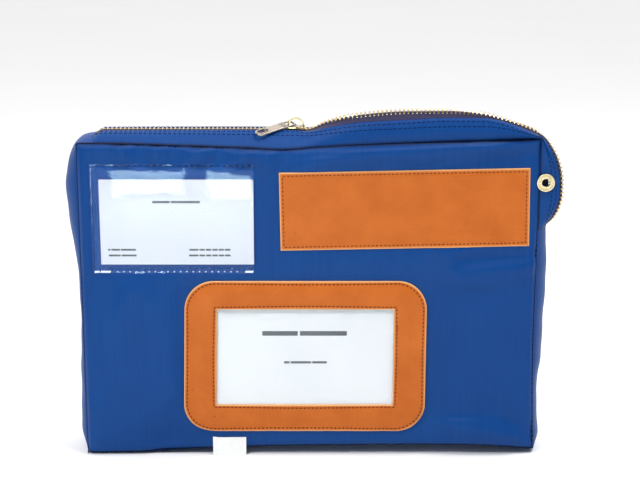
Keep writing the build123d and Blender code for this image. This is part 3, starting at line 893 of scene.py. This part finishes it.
BACK_HALF = (
    ((ZIP_START_X, 199.8), (ZIP_START_X, 5.0, 202.9), (ZIP_START_X, CLOSED_EDGE, 203.0)),
    ((ZIP_BEND_X, 199.6), (ZIP_BEND_X, CLOSED_FOLD, 205.8), (ZIP_BEND_X, CLOSED_EDGE, ZIP_Z)),
    ((-40, 197.6), (-40, CLOSED_FOLD, 206.2), (-40, CLOSED_EDGE, ZIP_Z)),
    ((SLIDER_X, 197.2), (SLIDER_X, CLOSED_FOLD, 205.8), (SLIDER_X, CLOSED_EDGE, ZIP_Z)),
    ((SLIDER_MOUTH_X, 197.3), (SLIDER_MOUTH_X, 8.8, 205.5), (SLIDER_MOUTH_X, MOUTH_EDGE, ZIP_Z)),
    ((30, 198.4), (30, 13.0, 206.9), (30, 9.0, 209.4)),
    ((60, 199.2), (60, 14.0, 208.4), (60, 10.6, 211.6)),
    ((105, 200.4), (105, 14.0, 208.2), (105, 10.6, 211.0)),
    ((125, 201.0), (125, 14.4, 206.0), (125, 10.8, 208.2)),
    ((HALF_WIDTH, 201.5), (142.0, 15.8, 201.8), (142.6, 11.8, 202.4)),
    ((HALF_WIDTH, 190), (146.9, 13.6, 190), (148.0, 8.9, 190)),
    ((HALF_WIDTH, 168), (149.0, 11.6, 168), (150.2, 6.8, 168)),
    ((HALF_WIDTH, 156), (148.6, 10.0, 156), (149.6, 5.2, 156)),
    ((HALF_WIDTH, 146.5), (147.2, 8.6, 147.6), (147.8, 2.6, 147.0)),
)
ZIP_STEP = 1.3
ZIP_BULGE = 1.3


class ZipHalf:
    """The lines of one zip half, all with the same number of points; side is -1 in front."""

    def __init__(self, stations, side, top_seam):
        folds = np.array([fold for seam, fold, edge in stations], float)
        edges = np.array([edge for seam, fold, edge in stations], float)
        seams = np.array([seam for seam, fold, edge in stations], float)
        knots = lengths_along(folds)
        at = np.linspace(0, knots[-1], round(knots[-1] / ZIP_STEP))
        self.side = side
        self.fold = smooth(knots, folds, at)
        self.edge = smooth(knots, edges, at)
        seam_x = np.interp(at, knots, seams[:, 0])
        seam_z = np.interp(at, knots, seams[:, 1])
        on_top = seam_x < HALF_WIDTH - 0.01
        seam_z[on_top] = seam_height(top_seam, seam_x[on_top])
        seam_y = np.full(len(at), side * (HALF_DEPTH - CREASE_DEPTH))
        self.seam = np.stack([seam_x, seam_y, seam_z], axis=1)
        along = unit(np.gradient(self.fold, axis=0))
        self.out = unit(np.cross(along, self.fold - self.seam)) * -side
        flat_by_eyelet = np.exp(-((self.fold[:, 2] - EYELET_Z) / 14) ** 2) * (self.fold[:, 0] > HALF_WIDTH)
        self.bulge = ZIP_BULGE * (1 - np.clip(flat_by_eyelet, 0, 1))[:, None]

    def across(self, share):
        """The cloth's line at a share of the way from the seam to the fold."""
        width = self.fold - self.seam
        rise = self.bulge * sin(pi * share) ** 0.8
        return self.seam + width * share + self.out * rise

    def from_fold(self, distance):
        """The cloth's line at a distance in millimetres short of the fold."""
        width = np.linalg.norm(self.fold - self.seam, axis=1)
        share = 1 - distance / np.maximum(width, 3 * distance)
        rise = self.bulge * np.sin(pi * share)[:, None] ** 0.8
        return self.seam + (self.fold - self.seam) * share[:, None] + self.out * rise


FRONT_ZIP = ZipHalf(FRONT_HALF, -1, TOP_SEAM)
BACK_ZIP = ZipHalf(BACK_HALF, 1, BACK_TOP_SEAM)
GUSSET_SHARES = (0, 0.03, 0.07, 0.13, 0.2, 0.3, 0.4, 0.5, 0.6, 0.7, 0.78, 0.85, 0.9, 0.94, 0.97, 1.0)
GUSSET_CLOTH = 0.6
# Where the cloth goes after the fold: back towards the seam and down, in millimetres.
HEM_TURN = ((-0.35, 0.4), (0.2, 0.85), (2.6, 1.0))
EYELET_HOLE_RADIUS = 3.2
HOLE_CUTTER_LENGTH = 8


def zip_gusset_grid(half):
    """From the panel's seam to the fold, then turned under; and its nearness to the seam."""
    lines = [half.across(share) for share in GUSSET_SHARES]
    width = np.linalg.norm(half.fold - half.seam, axis=1)
    to_end = lengths_along(half.fold)[-1] - lengths_along(half.fold)
    # Nearness to the panel seam and the cross seam; the nylon paints it as shade in the crease.
    cross_seam = near_edge(to_end, SEAM_SHADE)
    edge = [np.maximum(near_edge(share * width, SEAM_SHADE), cross_seam) for share in GUSSET_SHARES]
    edge += [np.zeros(len(width))] * len(HEM_TURN)
    back = unit(half.seam - half.fold)
    lines += [half.fold + back * inwards - half.out * down for inwards, down in HEM_TURN]
    return np.stack(lines, axis=0), np.stack(edge, axis=0)


def cut_eyelet_hole(piece):
    """A round hole where the eyelet's barrel passes through the cloth."""
    bpy.ops.mesh.primitive_cylinder_add(radius=EYELET_HOLE_RADIUS * MM, depth=HOLE_CUTTER_LENGTH * MM,
                                        vertices=40, location=EYELET_CENTRE * MM, rotation=(pi / 2, 0, 0))
    cutter = bpy.context.object
    cut = piece.modifiers.new("hole", "BOOLEAN")
    cut.object = cutter
    cut.operation = "DIFFERENCE"
    cut.solver = "EXACT"
    apply_modifiers(piece)
    bpy.data.objects.remove(cutter)


def make_zip_gusset(name, half):
    points, edge = zip_gusset_grid(half)
    gusset = thicken(grid_object(name, points, flip=half.side < 0, edge=edge), GUSSET_CLOTH)
    if half.side < 0:
        cut_eyelet_hole(gusset)
    finish_piece(gusset, "bag", NYLON, [name])


TAPE_CLOTH = 0.5
TAPE_TUCK = 3.0
TAPE_TUCK_DROP = 1.5
TAPE_DROP = 0.9
BEAD = 0.75


def tape_grid(half):
    """Tape from under the fold to its toothed edge."""
    under = half.fold + unit(half.seam - half.fold) * TAPE_TUCK - half.out * TAPE_TUCK_DROP
    start = half.fold - half.out * TAPE_DROP
    lines = [under]
    for share in np.linspace(0, 1, 9):
        lines.append(start + (half.edge - start) * share)
    return np.stack(lines, axis=0)


def make_tape(name, half):
    tape = thicken(grid_object(name, tape_grid(half), flip=half.side < 0), TAPE_CLOTH)
    finish_piece(tape, "bag", TAPE, [name])
    bead = tube_object(f"{name}_bead", half.edge, BEAD)
    finish_piece(bead, "bag", TAPE)


def tube_object(name, path, radius, sides=8):
    """A round cord along a path."""
    along = unit(np.gradient(path, axis=0))
    side = unit(np.cross(along, np.array([0.3, 0.9, 0.2])))
    up = unit(np.cross(side, along))
    turn = np.linspace(0, 2 * pi, sides, endpoint=False)
    rings = [path + (side * cos(angle) + up * sin(angle)) * radius for angle in turn]
    points = np.stack(rings, axis=1)
    uv = np.stack(np.meshgrid(turn * radius, lengths_along(path)), axis=-1)
    return mesh_object(name, points, grid_faces(len(path), sides, wrap=True), uv)


# One tooth seen along the tape: outline in (outward, up) millimetres, upper half only.
TOOTH_HALF_OUTLINE = ((-1.1, 0.45), (-1.15, 0.95), (-0.7, 1.12), (0.5, 1.12), (1.1, 0.9), (1.75, 0.72),
                      (2.2, 0.35))
TOOTH_SHARP_ANGLE = 40
TOOTH_SLICES = ((-0.55, 0.82), (-0.42, 1.0), (0.42, 1.0), (0.55, 0.82))


def make_teeth(name, half, first):
    """Brass teeth clamped over the tape's edge."""
    outline = np.array(TOOTH_HALF_OUTLINE + tuple((out, -up) for out, up in TOOTH_HALF_OUTLINE[::-1]))
    middle = outline.mean(axis=0)
    places, directions, at = evenly(half.edge, TOOTH_PITCH, first)
    outward = read_along(at, lengths_along(half.edge), unit(half.edge - half.fold))
    outward = unit(outward - directions * np.sum(outward * directions, axis=1, keepdims=True))
    up = np.cross(directions, outward)
    points = []
    faces = []
    for place, direction, out, normal in zip(places, directions, outward, up):
        base = len(points)
        for offset, size in TOOTH_SLICES:
            for reach, rise in middle + (outline - middle) * size:
                points.append(place + direction * offset + out * reach + normal * rise)
        faces += closed_tube_faces(base, len(TOOTH_SLICES), len(outline))
    teeth = mesh_object(name, points, faces)
    teeth.data.set_sharp_from_angle(angle=radians(TOOTH_SHARP_ANGLE))
    finish_piece(teeth, "bag", BRASS, [name])


for end, half, first in (("front", FRONT_ZIP, 1.3), ("back", BACK_ZIP, 2.6)):
    make_zip_gusset(f"zip_gusset_{end}", half)
    make_tape(f"zip_tape_{end}", half)
    make_teeth(f"zip_teeth_{end}", half, first)


def seam_loop(side, top_seam, bottom_seam):
    """The seam round a panel, from the bottom left corner up, along the top and down the right."""
    xs = np.linspace(-HALF_WIDTH, HALF_WIDTH, 120)
    top = seam_height(top_seam, xs)
    bottom = seam_height(bottom_seam, xs)
    rise = np.linspace(0, 1, 80)
    left = np.stack([np.full(80, -HALF_WIDTH), bottom[0] + (top[0] - bottom[0]) * rise], axis=1)
    right = np.stack([np.full(80, HALF_WIDTH), top[-1] + (bottom[-1] - top[-1]) * rise], axis=1)
    upper = np.stack([xs, top], axis=1)
    lower = np.stack([xs[::-1], bottom[::-1]], axis=1)
    flat = np.concatenate([left[:-1], upper[:-1], right[:-1], lower])
    depth = np.full((len(flat), 1), side * (HALF_DEPTH - CREASE_DEPTH))
    return np.concatenate([flat[:, :1], depth, flat[:, 1:]], axis=1)


# Width and thickness of the folded binding, and its gap from the panel's crease.
BINDING_SIZE = (3.6, 0.9)
BINDING_GAP = 0.9


def make_binding(name, side, top_seam, bottom_seam):
    """Folded tape that wraps the raw seam allowance inside the bag."""
    loop = seam_loop(side, top_seam, bottom_seam)
    centre = np.array([0, 0, PANEL_TOP / 2])
    inward = np.stack([np.clip((centre - loop)[:, 0] / 8, -1, 1), np.zeros(len(loop)),
                       np.clip((centre - loop)[:, 2] / 8, -1, 1)], axis=1)
    at_side = np.abs(loop[:, 0]) > HALF_WIDTH - 0.01
    inward[at_side, 2] = 0
    inward[~at_side, 0] = 0
    inward = unit(inward)
    start = loop + inward * 0.8
    depth = np.array([0, -side, 0])
    width, thickness = BINDING_SIZE
    corners = ((0, 0.4), (0.3, 0.1), (width, 0.1), (width + 0.3, 0.5), (width, thickness), (0.3, thickness))
    rings = [start + inward * across + depth * (BINDING_GAP + deep) for across, deep in corners]
    points = np.stack(rings, axis=1)
    binding = mesh_object(name, points, grid_faces(len(loop), len(corners), wrap=True),
                          np.zeros((points.shape[0], points.shape[1], 2)))
    finish_piece(binding, "bag", TAPE, [name])


make_binding("front_seam_binding", -1, TOP_SEAM, BOTTOM_SEAM)
make_binding("back_seam_binding", 1, BACK_TOP_SEAM, BACK_BOTTOM_SEAM)


def seam_stitch_rows():
    """Dark thread that shows in the crease between the panels and the strips."""
    rows = []
    for side, top_seam, bottom_seam in ((-1, TOP_SEAM, BOTTOM_SEAM), (1, BACK_TOP_SEAM, BACK_BOTTOM_SEAM)):
        loop = seam_loop(side, top_seam, bottom_seam)
        loop[:, 1] += side * 0.25
        normals = np.tile([0.0, side, 0.0], (len(loop), 1))
        rows.append(row_along(loop, normals, 3.2))
    return rows


def zip_stitch_rows():
    rows = []
    for half in (FRONT_ZIP, BACK_ZIP):
        for distance in (FOLD_STITCH, SECOND_STITCH):
            line = half.from_fold(distance) + half.out * (GUSSET_CLOTH / 2)
            clear = np.linalg.norm(line[:, [0, 2]] - [EYELET_X, EYELET_Z], axis=1) > 6.5
            keep = clear | (half.side > 0)
            pieces = np.split(np.arange(len(line)), np.flatnonzero(np.diff(keep.astype(int))) + 1)
            for piece in pieces:
                if keep[piece[0]] and len(piece) > 4:
                    rows.append(row_along(line[piece], half.out[piece], 3.0))
    return rows


stitches("seam_stitches", seam_stitch_rows(), length=2.3, radius=0.3, material=NAVY_THREAD)
stitches("zip_stitches", zip_stitch_rows(), length=2.2, radius=0.22, material=NAVY_THREAD)

# ---------------------------------------------------------------- pieces sewn on the front


def rounded_outline(width, height, corner, count):
    """Points round a rounded rectangle, spread evenly by length, as (x, z)."""
    half_x, half_z = width / 2 - corner, height / 2 - corner
    quarter = np.linspace(0, pi / 2, 16)
    parts = []
    for turn, (side_x, side_z) in enumerate(((1, 1), (-1, 1), (-1, -1), (1, -1))):
        angles = quarter + turn * pi / 2
        parts.append(np.stack([side_x * half_x + corner * np.cos(angles),
                               side_z * half_z + corner * np.sin(angles)], axis=1))
    outline = np.concatenate(parts + [parts[0][:1]])
    along = lengths_along(outline)
    keep = np.concatenate([[True], np.diff(along) > 1e-6])
    at = np.linspace(0, along[-1], count, endpoint=False)
    return read_along(at, along[keep], outline[keep])


def turned(points, degrees, centre):
    angle = radians(degrees)
    turn = np.array([[cos(angle), sin(angle)], [-sin(angle), cos(angle)]])
    return points @ turn + np.asarray(centre)


def loops_object(name, loops, heights, edge):
    """A raised piece on the front from closed loops of (x, z) and each loop's height off the panel."""
    rows = []
    for loop, height in zip(loops, heights):
        y = front_y(loop[:, 0], loop[:, 1]) - height
        rows.append(np.stack([loop[:, 0], y, loop[:, 1]], axis=1))
    points = np.stack(rows, axis=0)
    faces = [face[::-1] for face in grid_faces(len(rows), len(loops[0]), wrap=True)]
    return mesh_object(name, points, faces, edge=edge)


GROOVE_AT = 2.1
CUT_EDGE = 0.7
LEATHER_STITCH_PITCH = 2.55
# The patch's thread lies deep in its groove, because the business card slides over it.
PATCH_THREAD_SINK = 0.13


def leather_height(distance, rise):
    """Rounded cut edge, then a shallow groove where the thread pulls the leather down."""
    edge = np.sqrt(np.clip(1 - np.clip(1 - distance / CUT_EDGE, 0, 1) ** 2, 0, 1))
    groove = 0.28 * np.exp(-((distance - GROOVE_AT) / 0.5) ** 2)
    return rise * (0.55 + 0.45 * edge) - groove


def make_patch():
    """Writing patch sewn flat all round. Returns its stitch row."""
    width, height = PATCH_SIZE
    centre = ((PATCH_LOW[0] + PATCH_HIGH[0]) / 2, (PATCH_LOW[2] + PATCH_HIGH[2]) / 2)
    xs = with_doubled_ends(close_spaced((-width / 2, width / 2), 0.3, 3.0))
    zs = with_doubled_ends(close_spaced((-height / 2, height / 2), 0.3, 3.0))
    across, upright = np.meshgrid(xs, zs)
    to_edge = np.minimum(width / 2 - np.abs(across), height / 2 - np.abs(upright))
    lift = leather_height(to_edge, PATCH_RISE)
    lift[[0, -1]] = 0.05
    lift[:, [0, -1]] = 0.05
    flat = np.stack([across, upright], axis=-1)
    flat = turned(flat.reshape(-1, 2), PATCH_TILT, centre).reshape(flat.shape)
    y = front_y(flat[..., 0], flat[..., 1]) - lift
    points = np.stack([flat[..., 0], y, flat[..., 1]], axis=-1)
    # Nearness to the cut edge; the leather paints it lighter, partly as a painted highlight.
    patch = grid_object("writing_patch", points, edge=near_edge(to_edge, CUT_EDGE))
    finish_piece(patch, "bag", LEATHER, ["writing_patch"])
    seam = rounded_outline(width - 2 * GROOVE_AT, height - 2 * GROOVE_AT, 0.5, 400)
    thread_height = leather_height(GROOVE_AT, PATCH_RISE) - PATCH_THREAD_SINK
    return surface_row(turned(seam, PATCH_TILT, centre), thread_height, LEATHER_STITCH_PITCH)


def with_doubled_ends(values):
    """Repeats the first and last values, for the upright cut edge of a raised piece."""
    return np.concatenate([values[:1], values, values[-1:]])


def surface_row(loop, height, pitch):
    """A stitch row round a closed loop of (x, z) at a height off the panel."""
    y = front_y(loop[:, 0], loop[:, 1]) - height
    path = np.stack([loop[:, 0], y, loop[:, 1]], axis=1)
    path = np.concatenate([path, path[:1]])
    return row_along(path, facing_front(len(path)), pitch)


FRAME_RISE = FRAME_HIGH[1] - FRAME_LOW[1]
FRAME_SEWN_RISE = 1.45
FRAME_LEATHER = 1.35
FRAME_CENTRE = np.array([(FRAME_LOW[0] + FRAME_HIGH[0]) / 2, (FRAME_LOW[2] + FRAME_HIGH[2]) / 2])
FRAME_LOOP_POINTS = 480
FRAME_OUTER_STEPS = (0.0, 0.0, 0.15, 0.45, 0.9, 1.5, 1.8, GROOVE_AT, 2.4, 3.0, 4.0, 6.0, 8.0)
FRAME_INNER_STEPS = (9.0, 6.0, 4.2, 3.0, 2.4, GROOVE_AT, 1.8, 1.2, 0.6, 0.3, 0.0)
FRAME_LEAN = (0.45, 0.024)


def placed_on_bag(loop):
    """A frame loop in the bag's x and z. Its left side was sewn a little out of upright."""
    shift, slope = FRAME_LEAN
    left_share = 0.5 - loop[:, 0] / (FRAME_HIGH[0] - FRAME_LOW[0])
    lean = (shift + slope * loop[:, 1]) * left_share
    return loop + FRAME_CENTRE + np.stack([lean, np.zeros(len(loop))], axis=1)


def make_frame():
    """Address frame: a leather ring sewn down on three sides, open on the right. Returns its stitch rows."""
    width, height = FRAME_HIGH[0] - FRAME_LOW[0], FRAME_HIGH[2] - FRAME_LOW[2]
    outer = rounded_outline(width, height, FRAME_CORNER, FRAME_LOOP_POINTS)
    inner = matched_window(outer, FRAME_WINDOW)
    inward = unit(inner - outer)
    steps = [(outer, inward, distance) for distance in FRAME_OUTER_STEPS]
    steps += [(inner, -inward, distance) for distance in FRAME_INNER_STEPS]
    loops = [start + direction * distance for start, direction, distance in steps]
    heights = [frame_height(loop, distance) for loop, (start, direction, distance) in zip(loops, steps)]
    heights[0] = np.full(FRAME_LOOP_POINTS, 0.05)
    loops.append(inner)
    heights.append(np.full(FRAME_LOOP_POINTS, FRAME_RISE - FRAME_LEATHER))
    # Nearness to the cut edge; the leather paints it lighter, partly as a painted highlight.
    edge = [near_edge(distance, CUT_EDGE) for start, direction, distance in steps] + [1.0]
    edge = np.repeat(np.array(edge)[:, None], FRAME_LOOP_POINTS, axis=1)
    leather = loops_object("address_frame", [placed_on_bag(loop) for loop in loops], heights, edge)
    finish_piece(leather, "bag", LEATHER, ["address_frame"])
    seams = (outer + inward * GROOVE_AT, inner - inward * GROOVE_AT)
    return [surface_row(placed_on_bag(seam), frame_height(seam, GROOVE_AT), LEATHER_STITCH_PITCH)
            for seam in seams]


def matched_window(outer, window):
    """A point on the window's edge for each point of the outer outline."""
    half_x, half_z = window[0] / 2, window[1] / 2
    reach_x, reach_z = np.abs(outer[:, 0]).max(), np.abs(outer[:, 1]).max()
    scaled = outer * [half_x / reach_x, half_z / reach_z]
    grow = np.maximum(np.abs(scaled[:, 0]) / half_x, np.abs(scaled[:, 1]) / half_z)
    return scaled / grow[:, None]


def frame_height(loop, distance):
    """Height of the frame's leather: low at its sewn outer edge and full round the card pocket."""
    half_x = (FRAME_HIGH[0] - FRAME_LOW[0]) / 2
    half_z = (FRAME_HIGH[2] - FRAME_LOW[2]) / 2
    sewn = np.minimum(loop[:, 0] + half_x, half_z - np.abs(loop[:, 1]))
    corner_cut = (half_x - loop[:, 0]) + (half_z - np.abs(loop[:, 1])) - 10
    sewn = np.minimum(sewn, np.maximum(corner_cut, 0) + 3)
    lift = soft_step((sewn - 1.5) / 8)
    rise = FRAME_SEWN_RISE + (FRAME_RISE - FRAME_SEWN_RISE) * lift
    return leather_height(distance, 1.0) + rise - 1.0


LEATHER_ROWS = [make_patch()] + make_frame()
stitches("leather_stitches", LEATHER_ROWS, length=1.6, radius=0.36, material=BROWN_THREAD)

FILM_STITCH_PITCH = 3.9
FILM_HEM = 2.0
FILM_RAMP = 1.6
FILM_HEM_HEIGHT = 0.25
FILM_OVER_CAD = 0.05
HEM_RIPPLE = 0.12
FILM_SWAY = 0.05
TOP_WAVE = 0.018


def film_height(x, z):
    """The film lies on the panel at its hem and stands over the card inside it."""
    to_hem = np.minimum(x - POCKET_LOW[0], np.minimum(z - POCKET_LOW[2], POCKET_HIGH[2] - z))
    full = POCKET_HIGH[1] - POCKET_LOW[1] + FILM_OVER_CAD
    lift = soft_step((to_hem - FILM_HEM) / FILM_RAMP)
    hem_ripple = HEM_RIPPLE * np.sin(x / 2.0) * np.sin(z / 2.1) * (1 - lift)
    sway = FILM_SWAY * lift * np.sin(x / 17.0 + 0.6) * np.sin(z / 13.0)
    top_wave = TOP_WAVE * np.exp(-((z - POCKET_HIGH[2] + 6) / 4.0) ** 2) * np.sin(x / 5.0 + 1.2)
    height = FILM_HEM_HEIGHT + (full - FILM_HEM_HEIGHT) * lift
    return height + hem_ripple + np.maximum(sway, 0) + top_wave * lift


def make_film():
    xs = np.linspace(POCKET_LOW[0], POCKET_HIGH[0], 110)
    zs = np.linspace(POCKET_LOW[2], POCKET_HIGH[2], 80)
    across, upright = np.meshgrid(xs, zs)
    out = front_y(across, upright) - film_height(across, upright)
    film = thicken(grid_object("card_pocket", np.stack([across, out, upright], axis=-1)), 0.15)
    finish_piece(film, "bag", FILM, ["card_pocket"])
    inset = FILM_HEM / 2
    left, right = POCKET_LOW[0] + inset, POCKET_HIGH[0] - 2
    low, high = POCKET_LOW[2] + inset, POCKET_HIGH[2] - inset
    upper = film_row(((right, high), (left, high), (left, low)))
    lower = film_row(((left + 14, low), (right - 6, low)))
    stitches("pocket_stitches", [upper], length=2.4, radius=0.26, material=NAVY_THREAD)
    # The lower row is short pale dots: stitches whose pale colour is a painted highlight.
    stitches("pocket_base_stitch_highlights", [lower], length=0.9, radius=0.3, material=PALE_THREAD_AND_HIGHLIGHT)


def film_row(corners):
    """A stitch row on the film's hem through corners (x, z)."""
    spans = zip(corners[:-1], corners[1:])
    path = np.concatenate([np.linspace(start, end, 60) for start, end in spans])
    path = path[np.concatenate([[True], np.any(np.diff(path, axis=0) != 0, axis=1)])]
    y = front_y(path[:, 0], path[:, 1]) - film_height(path[:, 0], path[:, 1]) - 0.1
    line = np.stack([path[:, 0], y, path[:, 1]], axis=1)
    return row_along(line, facing_front(len(line)), FILM_STITCH_PITCH)


def make_bar_tacks():
    """Dense pale stitches that lock the pocket's lower corners; their pale colour is partly a painted
    highlight.
    """
    z = POCKET_LOW[2] + FILM_HEM / 2
    rows = []
    left, right = POCKET_LOW[0], POCKET_HIGH[0]
    for start, end in ((left + 1.2, left + 3.4), (left + 5.0, left + 11.0), (right - 5.2, right - 0.4)):
        xs = np.arange(start, end, 0.55)
        y = front_y(xs, np.full(len(xs), z)) - 0.75
        places = np.stack([xs, y, np.full(len(xs), z)], axis=1)
        directions = np.tile(unit(np.array([0.35, 0.0, 1.0])), (len(xs), 1))
        rows.append((places, directions, facing_front(len(xs))))
    stitches("pocket_bar_tacks_and_highlights", rows, length=1.5, radius=0.32, material=PALE_THREAD_AND_HIGHLIGHT)


make_film()
make_bar_tacks()


LABEL_GAP = 0.55
LABEL_CURL = 0.5
LABEL_WAVE = 0.18
LABEL_SEAM_Z = 7.0


def make_label():
    """Blank woven label caught in the bottom seam."""
    xs = np.linspace(LABEL_LOW[0], LABEL_HIGH[0], 30)
    zs = np.linspace(LABEL_LOW[2], LABEL_HIGH[2], 20)
    across, upright = np.meshgrid(xs, zs)
    share = (upright - zs[0]) / (zs[-1] - zs[0])
    stand = LABEL_GAP + LABEL_CURL * (1 - share) ** 2 + LABEL_WAVE * np.sin((across - xs[0]) / 4.2)
    out = front_y(across, np.maximum(upright, LABEL_SEAM_Z)) - stand
    label = thicken(grid_object("seam_label", np.stack([across, out, upright], axis=-1)), 0.4)
    finish_piece(label, "bag", LABEL, ["seam_label"])


make_label()

# ---------------------------------------------------------------- cards


BAR_BEVEL = 0.15
BAR_GAP_SHARE = 0.45


def dashes(name, body, y, rows):
    """Grey bars in place of print. A row is (left, height in z, bar height, bar lengths)."""
    points = []
    faces = []
    for left, z, tall, lengths in rows:
        x = left
        for length in lengths:
            base = len(points)
            end, top = length - BAR_BEVEL, tall - BAR_BEVEL
            for dx, dz in ((0, BAR_BEVEL), (BAR_BEVEL, 0), (end, 0), (length, BAR_BEVEL),
                           (length, top), (end, tall), (BAR_BEVEL, tall), (0, top)):
                points.append((x + dx, y, z + dz))
            faces.append(tuple(range(base, base + 8)))
            x += length + BAR_GAP_SHARE * tall
    bars = thicken(mesh_object(name, points, faces), 0.04)
    finish_piece(bars, body, INK)


dashes("business_card_print", "business_card", CARD_LOW[1] - 0.02, (
    (CARD_LOW[0] + 32.3, CARD_LOW[2] + 38.4, 1.5, (10.8, 17.8)),
    (CARD_LOW[0] + 4.5, CARD_LOW[2] + 8.7, 1.2, (1.4, 5.4, 9.2)),
    (CARD_LOW[0] + 4.8, CARD_LOW[2] + 5.1, 1.2, (7.4, 9.2)),
    (CARD_LOW[0] + 54.5, CARD_LOW[2] + 8.7, 1.2, (5.6, 3.4, 3.4, 3.4, 3.4, 3.4)),
    (CARD_LOW[0] + 54.2, CARD_LOW[2] + 5.1, 1.2, (5.9, 3.4, 3.4, 3.4, 3.4, 3.4)),
))
dashes("address_card_print", "address_card", ADDRESS_LOW[1] - 0.02, (
    (ADDRESS_LOW[0] + 31.0, ADDRESS_LOW[2] + 47.4, 3.0, (22.2, 29.4)),
    (ADDRESS_LOW[0] + 44.5, ADDRESS_LOW[2] + 29.2, 1.5, (3.6, 12.8, 9.2)),
))

# ---------------------------------------------------------------- kept CAD parts


def dress(node, material):
    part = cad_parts[node]
    part.data.materials.clear()
    part.data.materials.append(material)


for node, material in (
    ("slider_body", SLIDER_METAL),
    ("slider_bail", SLIDER_METAL),
    ("pull_tab", PULL_METAL),
    ("eyelet", EYELET_METAL),
    ("eyelet_washer", BRASS),
    ("business_card", BUSINESS_CARD),
    ("address_card", ADDRESS_CARD),
    ("address_window", FILM),
):
    dress(node, material)

# ---------------------------------------------------------------- studio

GLINT_COLOUR = (0.72, 1.0, 1.0)
CAMERA_TARGET = Vector((0.0, PANEL_Y * MM, 0.1))
CAMERA_DISTANCE = 0.93
CAMERA_ELEVATION = 15.0
CAMERA_LENS = 84.0
CAMERA_SHIFT = (0.0183, 0.0986)


def make_camera():
    camera = bpy.data.objects.new("camera", bpy.data.cameras.new("camera"))
    bpy.context.scene.collection.objects.link(camera)
    lift = radians(CAMERA_ELEVATION)
    camera.location = CAMERA_TARGET + Vector((0, -cos(lift), sin(lift))) * CAMERA_DISTANCE
    camera.rotation_euler = (pi / 2 - lift, 0, 0)
    camera.data.lens = CAMERA_LENS
    camera.data.shift_x, camera.data.shift_y = CAMERA_SHIFT
    camera.data.clip_start = 0.01
    bpy.context.scene.camera = camera


def make_softbox(name, place, size, power, aim=(0.0, 0.0, 0.1), colour=(1.0, 1.0, 1.0)):
    light = bpy.data.lights.new(name, "AREA")
    light.shape = "RECTANGLE"
    light.size, light.size_y = size
    light.energy = power
    light.color = colour
    box = bpy.data.objects.new(name, light)
    bpy.context.scene.collection.objects.link(box)
    box.location = place
    box.rotation_euler = (Vector(aim) - Vector(place)).to_track_quat("-Z", "Y").to_euler()


def make_studio():
    bpy.ops.mesh.primitive_plane_add(size=24)
    floor = bpy.context.object
    floor.name = "floor"
    floor.data.materials.append(floor_material())
    make_sky()
    bpy.context.scene.view_settings.view_transform = "Standard"
    make_softbox("key", (-0.6, -0.8, 1.4), (0.3, 0.3), 12)
    make_softbox("top", (0.5, -0.25, 1.4), (0.5, 0.4), 10)
    make_softbox("glint_left", (-0.188, -0.86, 0.055), (0.085, 0.10), 0.62,
                 aim=(-0.19, 0.0, 0.055), colour=GLINT_COLOUR)
    make_softbox("glint_right", (-0.090, -0.86, 0.055), (0.055, 0.10), 0.42,
                 aim=(-0.09, 0.0, 0.055), colour=GLINT_COLOUR)


SKY_OVERHEAD = 0.45
SKY_LEAST = 0.12
SKY_BLEND = 0.35


def make_sky():
    """White all round, brightest overhead and behind the bag, softer from the front."""
    world = bpy.data.worlds.new("studio")
    world.use_nodes = True
    tree = world.node_tree
    towards = add(tree, "ShaderNodeTexCoord").outputs["Generated"]
    parts = add(tree, "ShaderNodeSeparateXYZ", {0: towards})
    behind = ramp(tree, parts.outputs[1], -SKY_BLEND, SKY_BLEND)
    overhead = ramp(tree, parts.outputs[2], 0.1, 1.0)
    strength = math_node(tree, "ADD", behind, scaled(tree, overhead, SKY_OVERHEAD))
    background = tree.nodes["Background"]
    background.inputs["Color"].default_value = rgba(1.0, 1.0, 1.0)
    tree.links.new(math_node(tree, "ADD", strength, SKY_LEAST), background.inputs["Strength"])
    bpy.context.scene.world = world


make_camera()
make_studio()
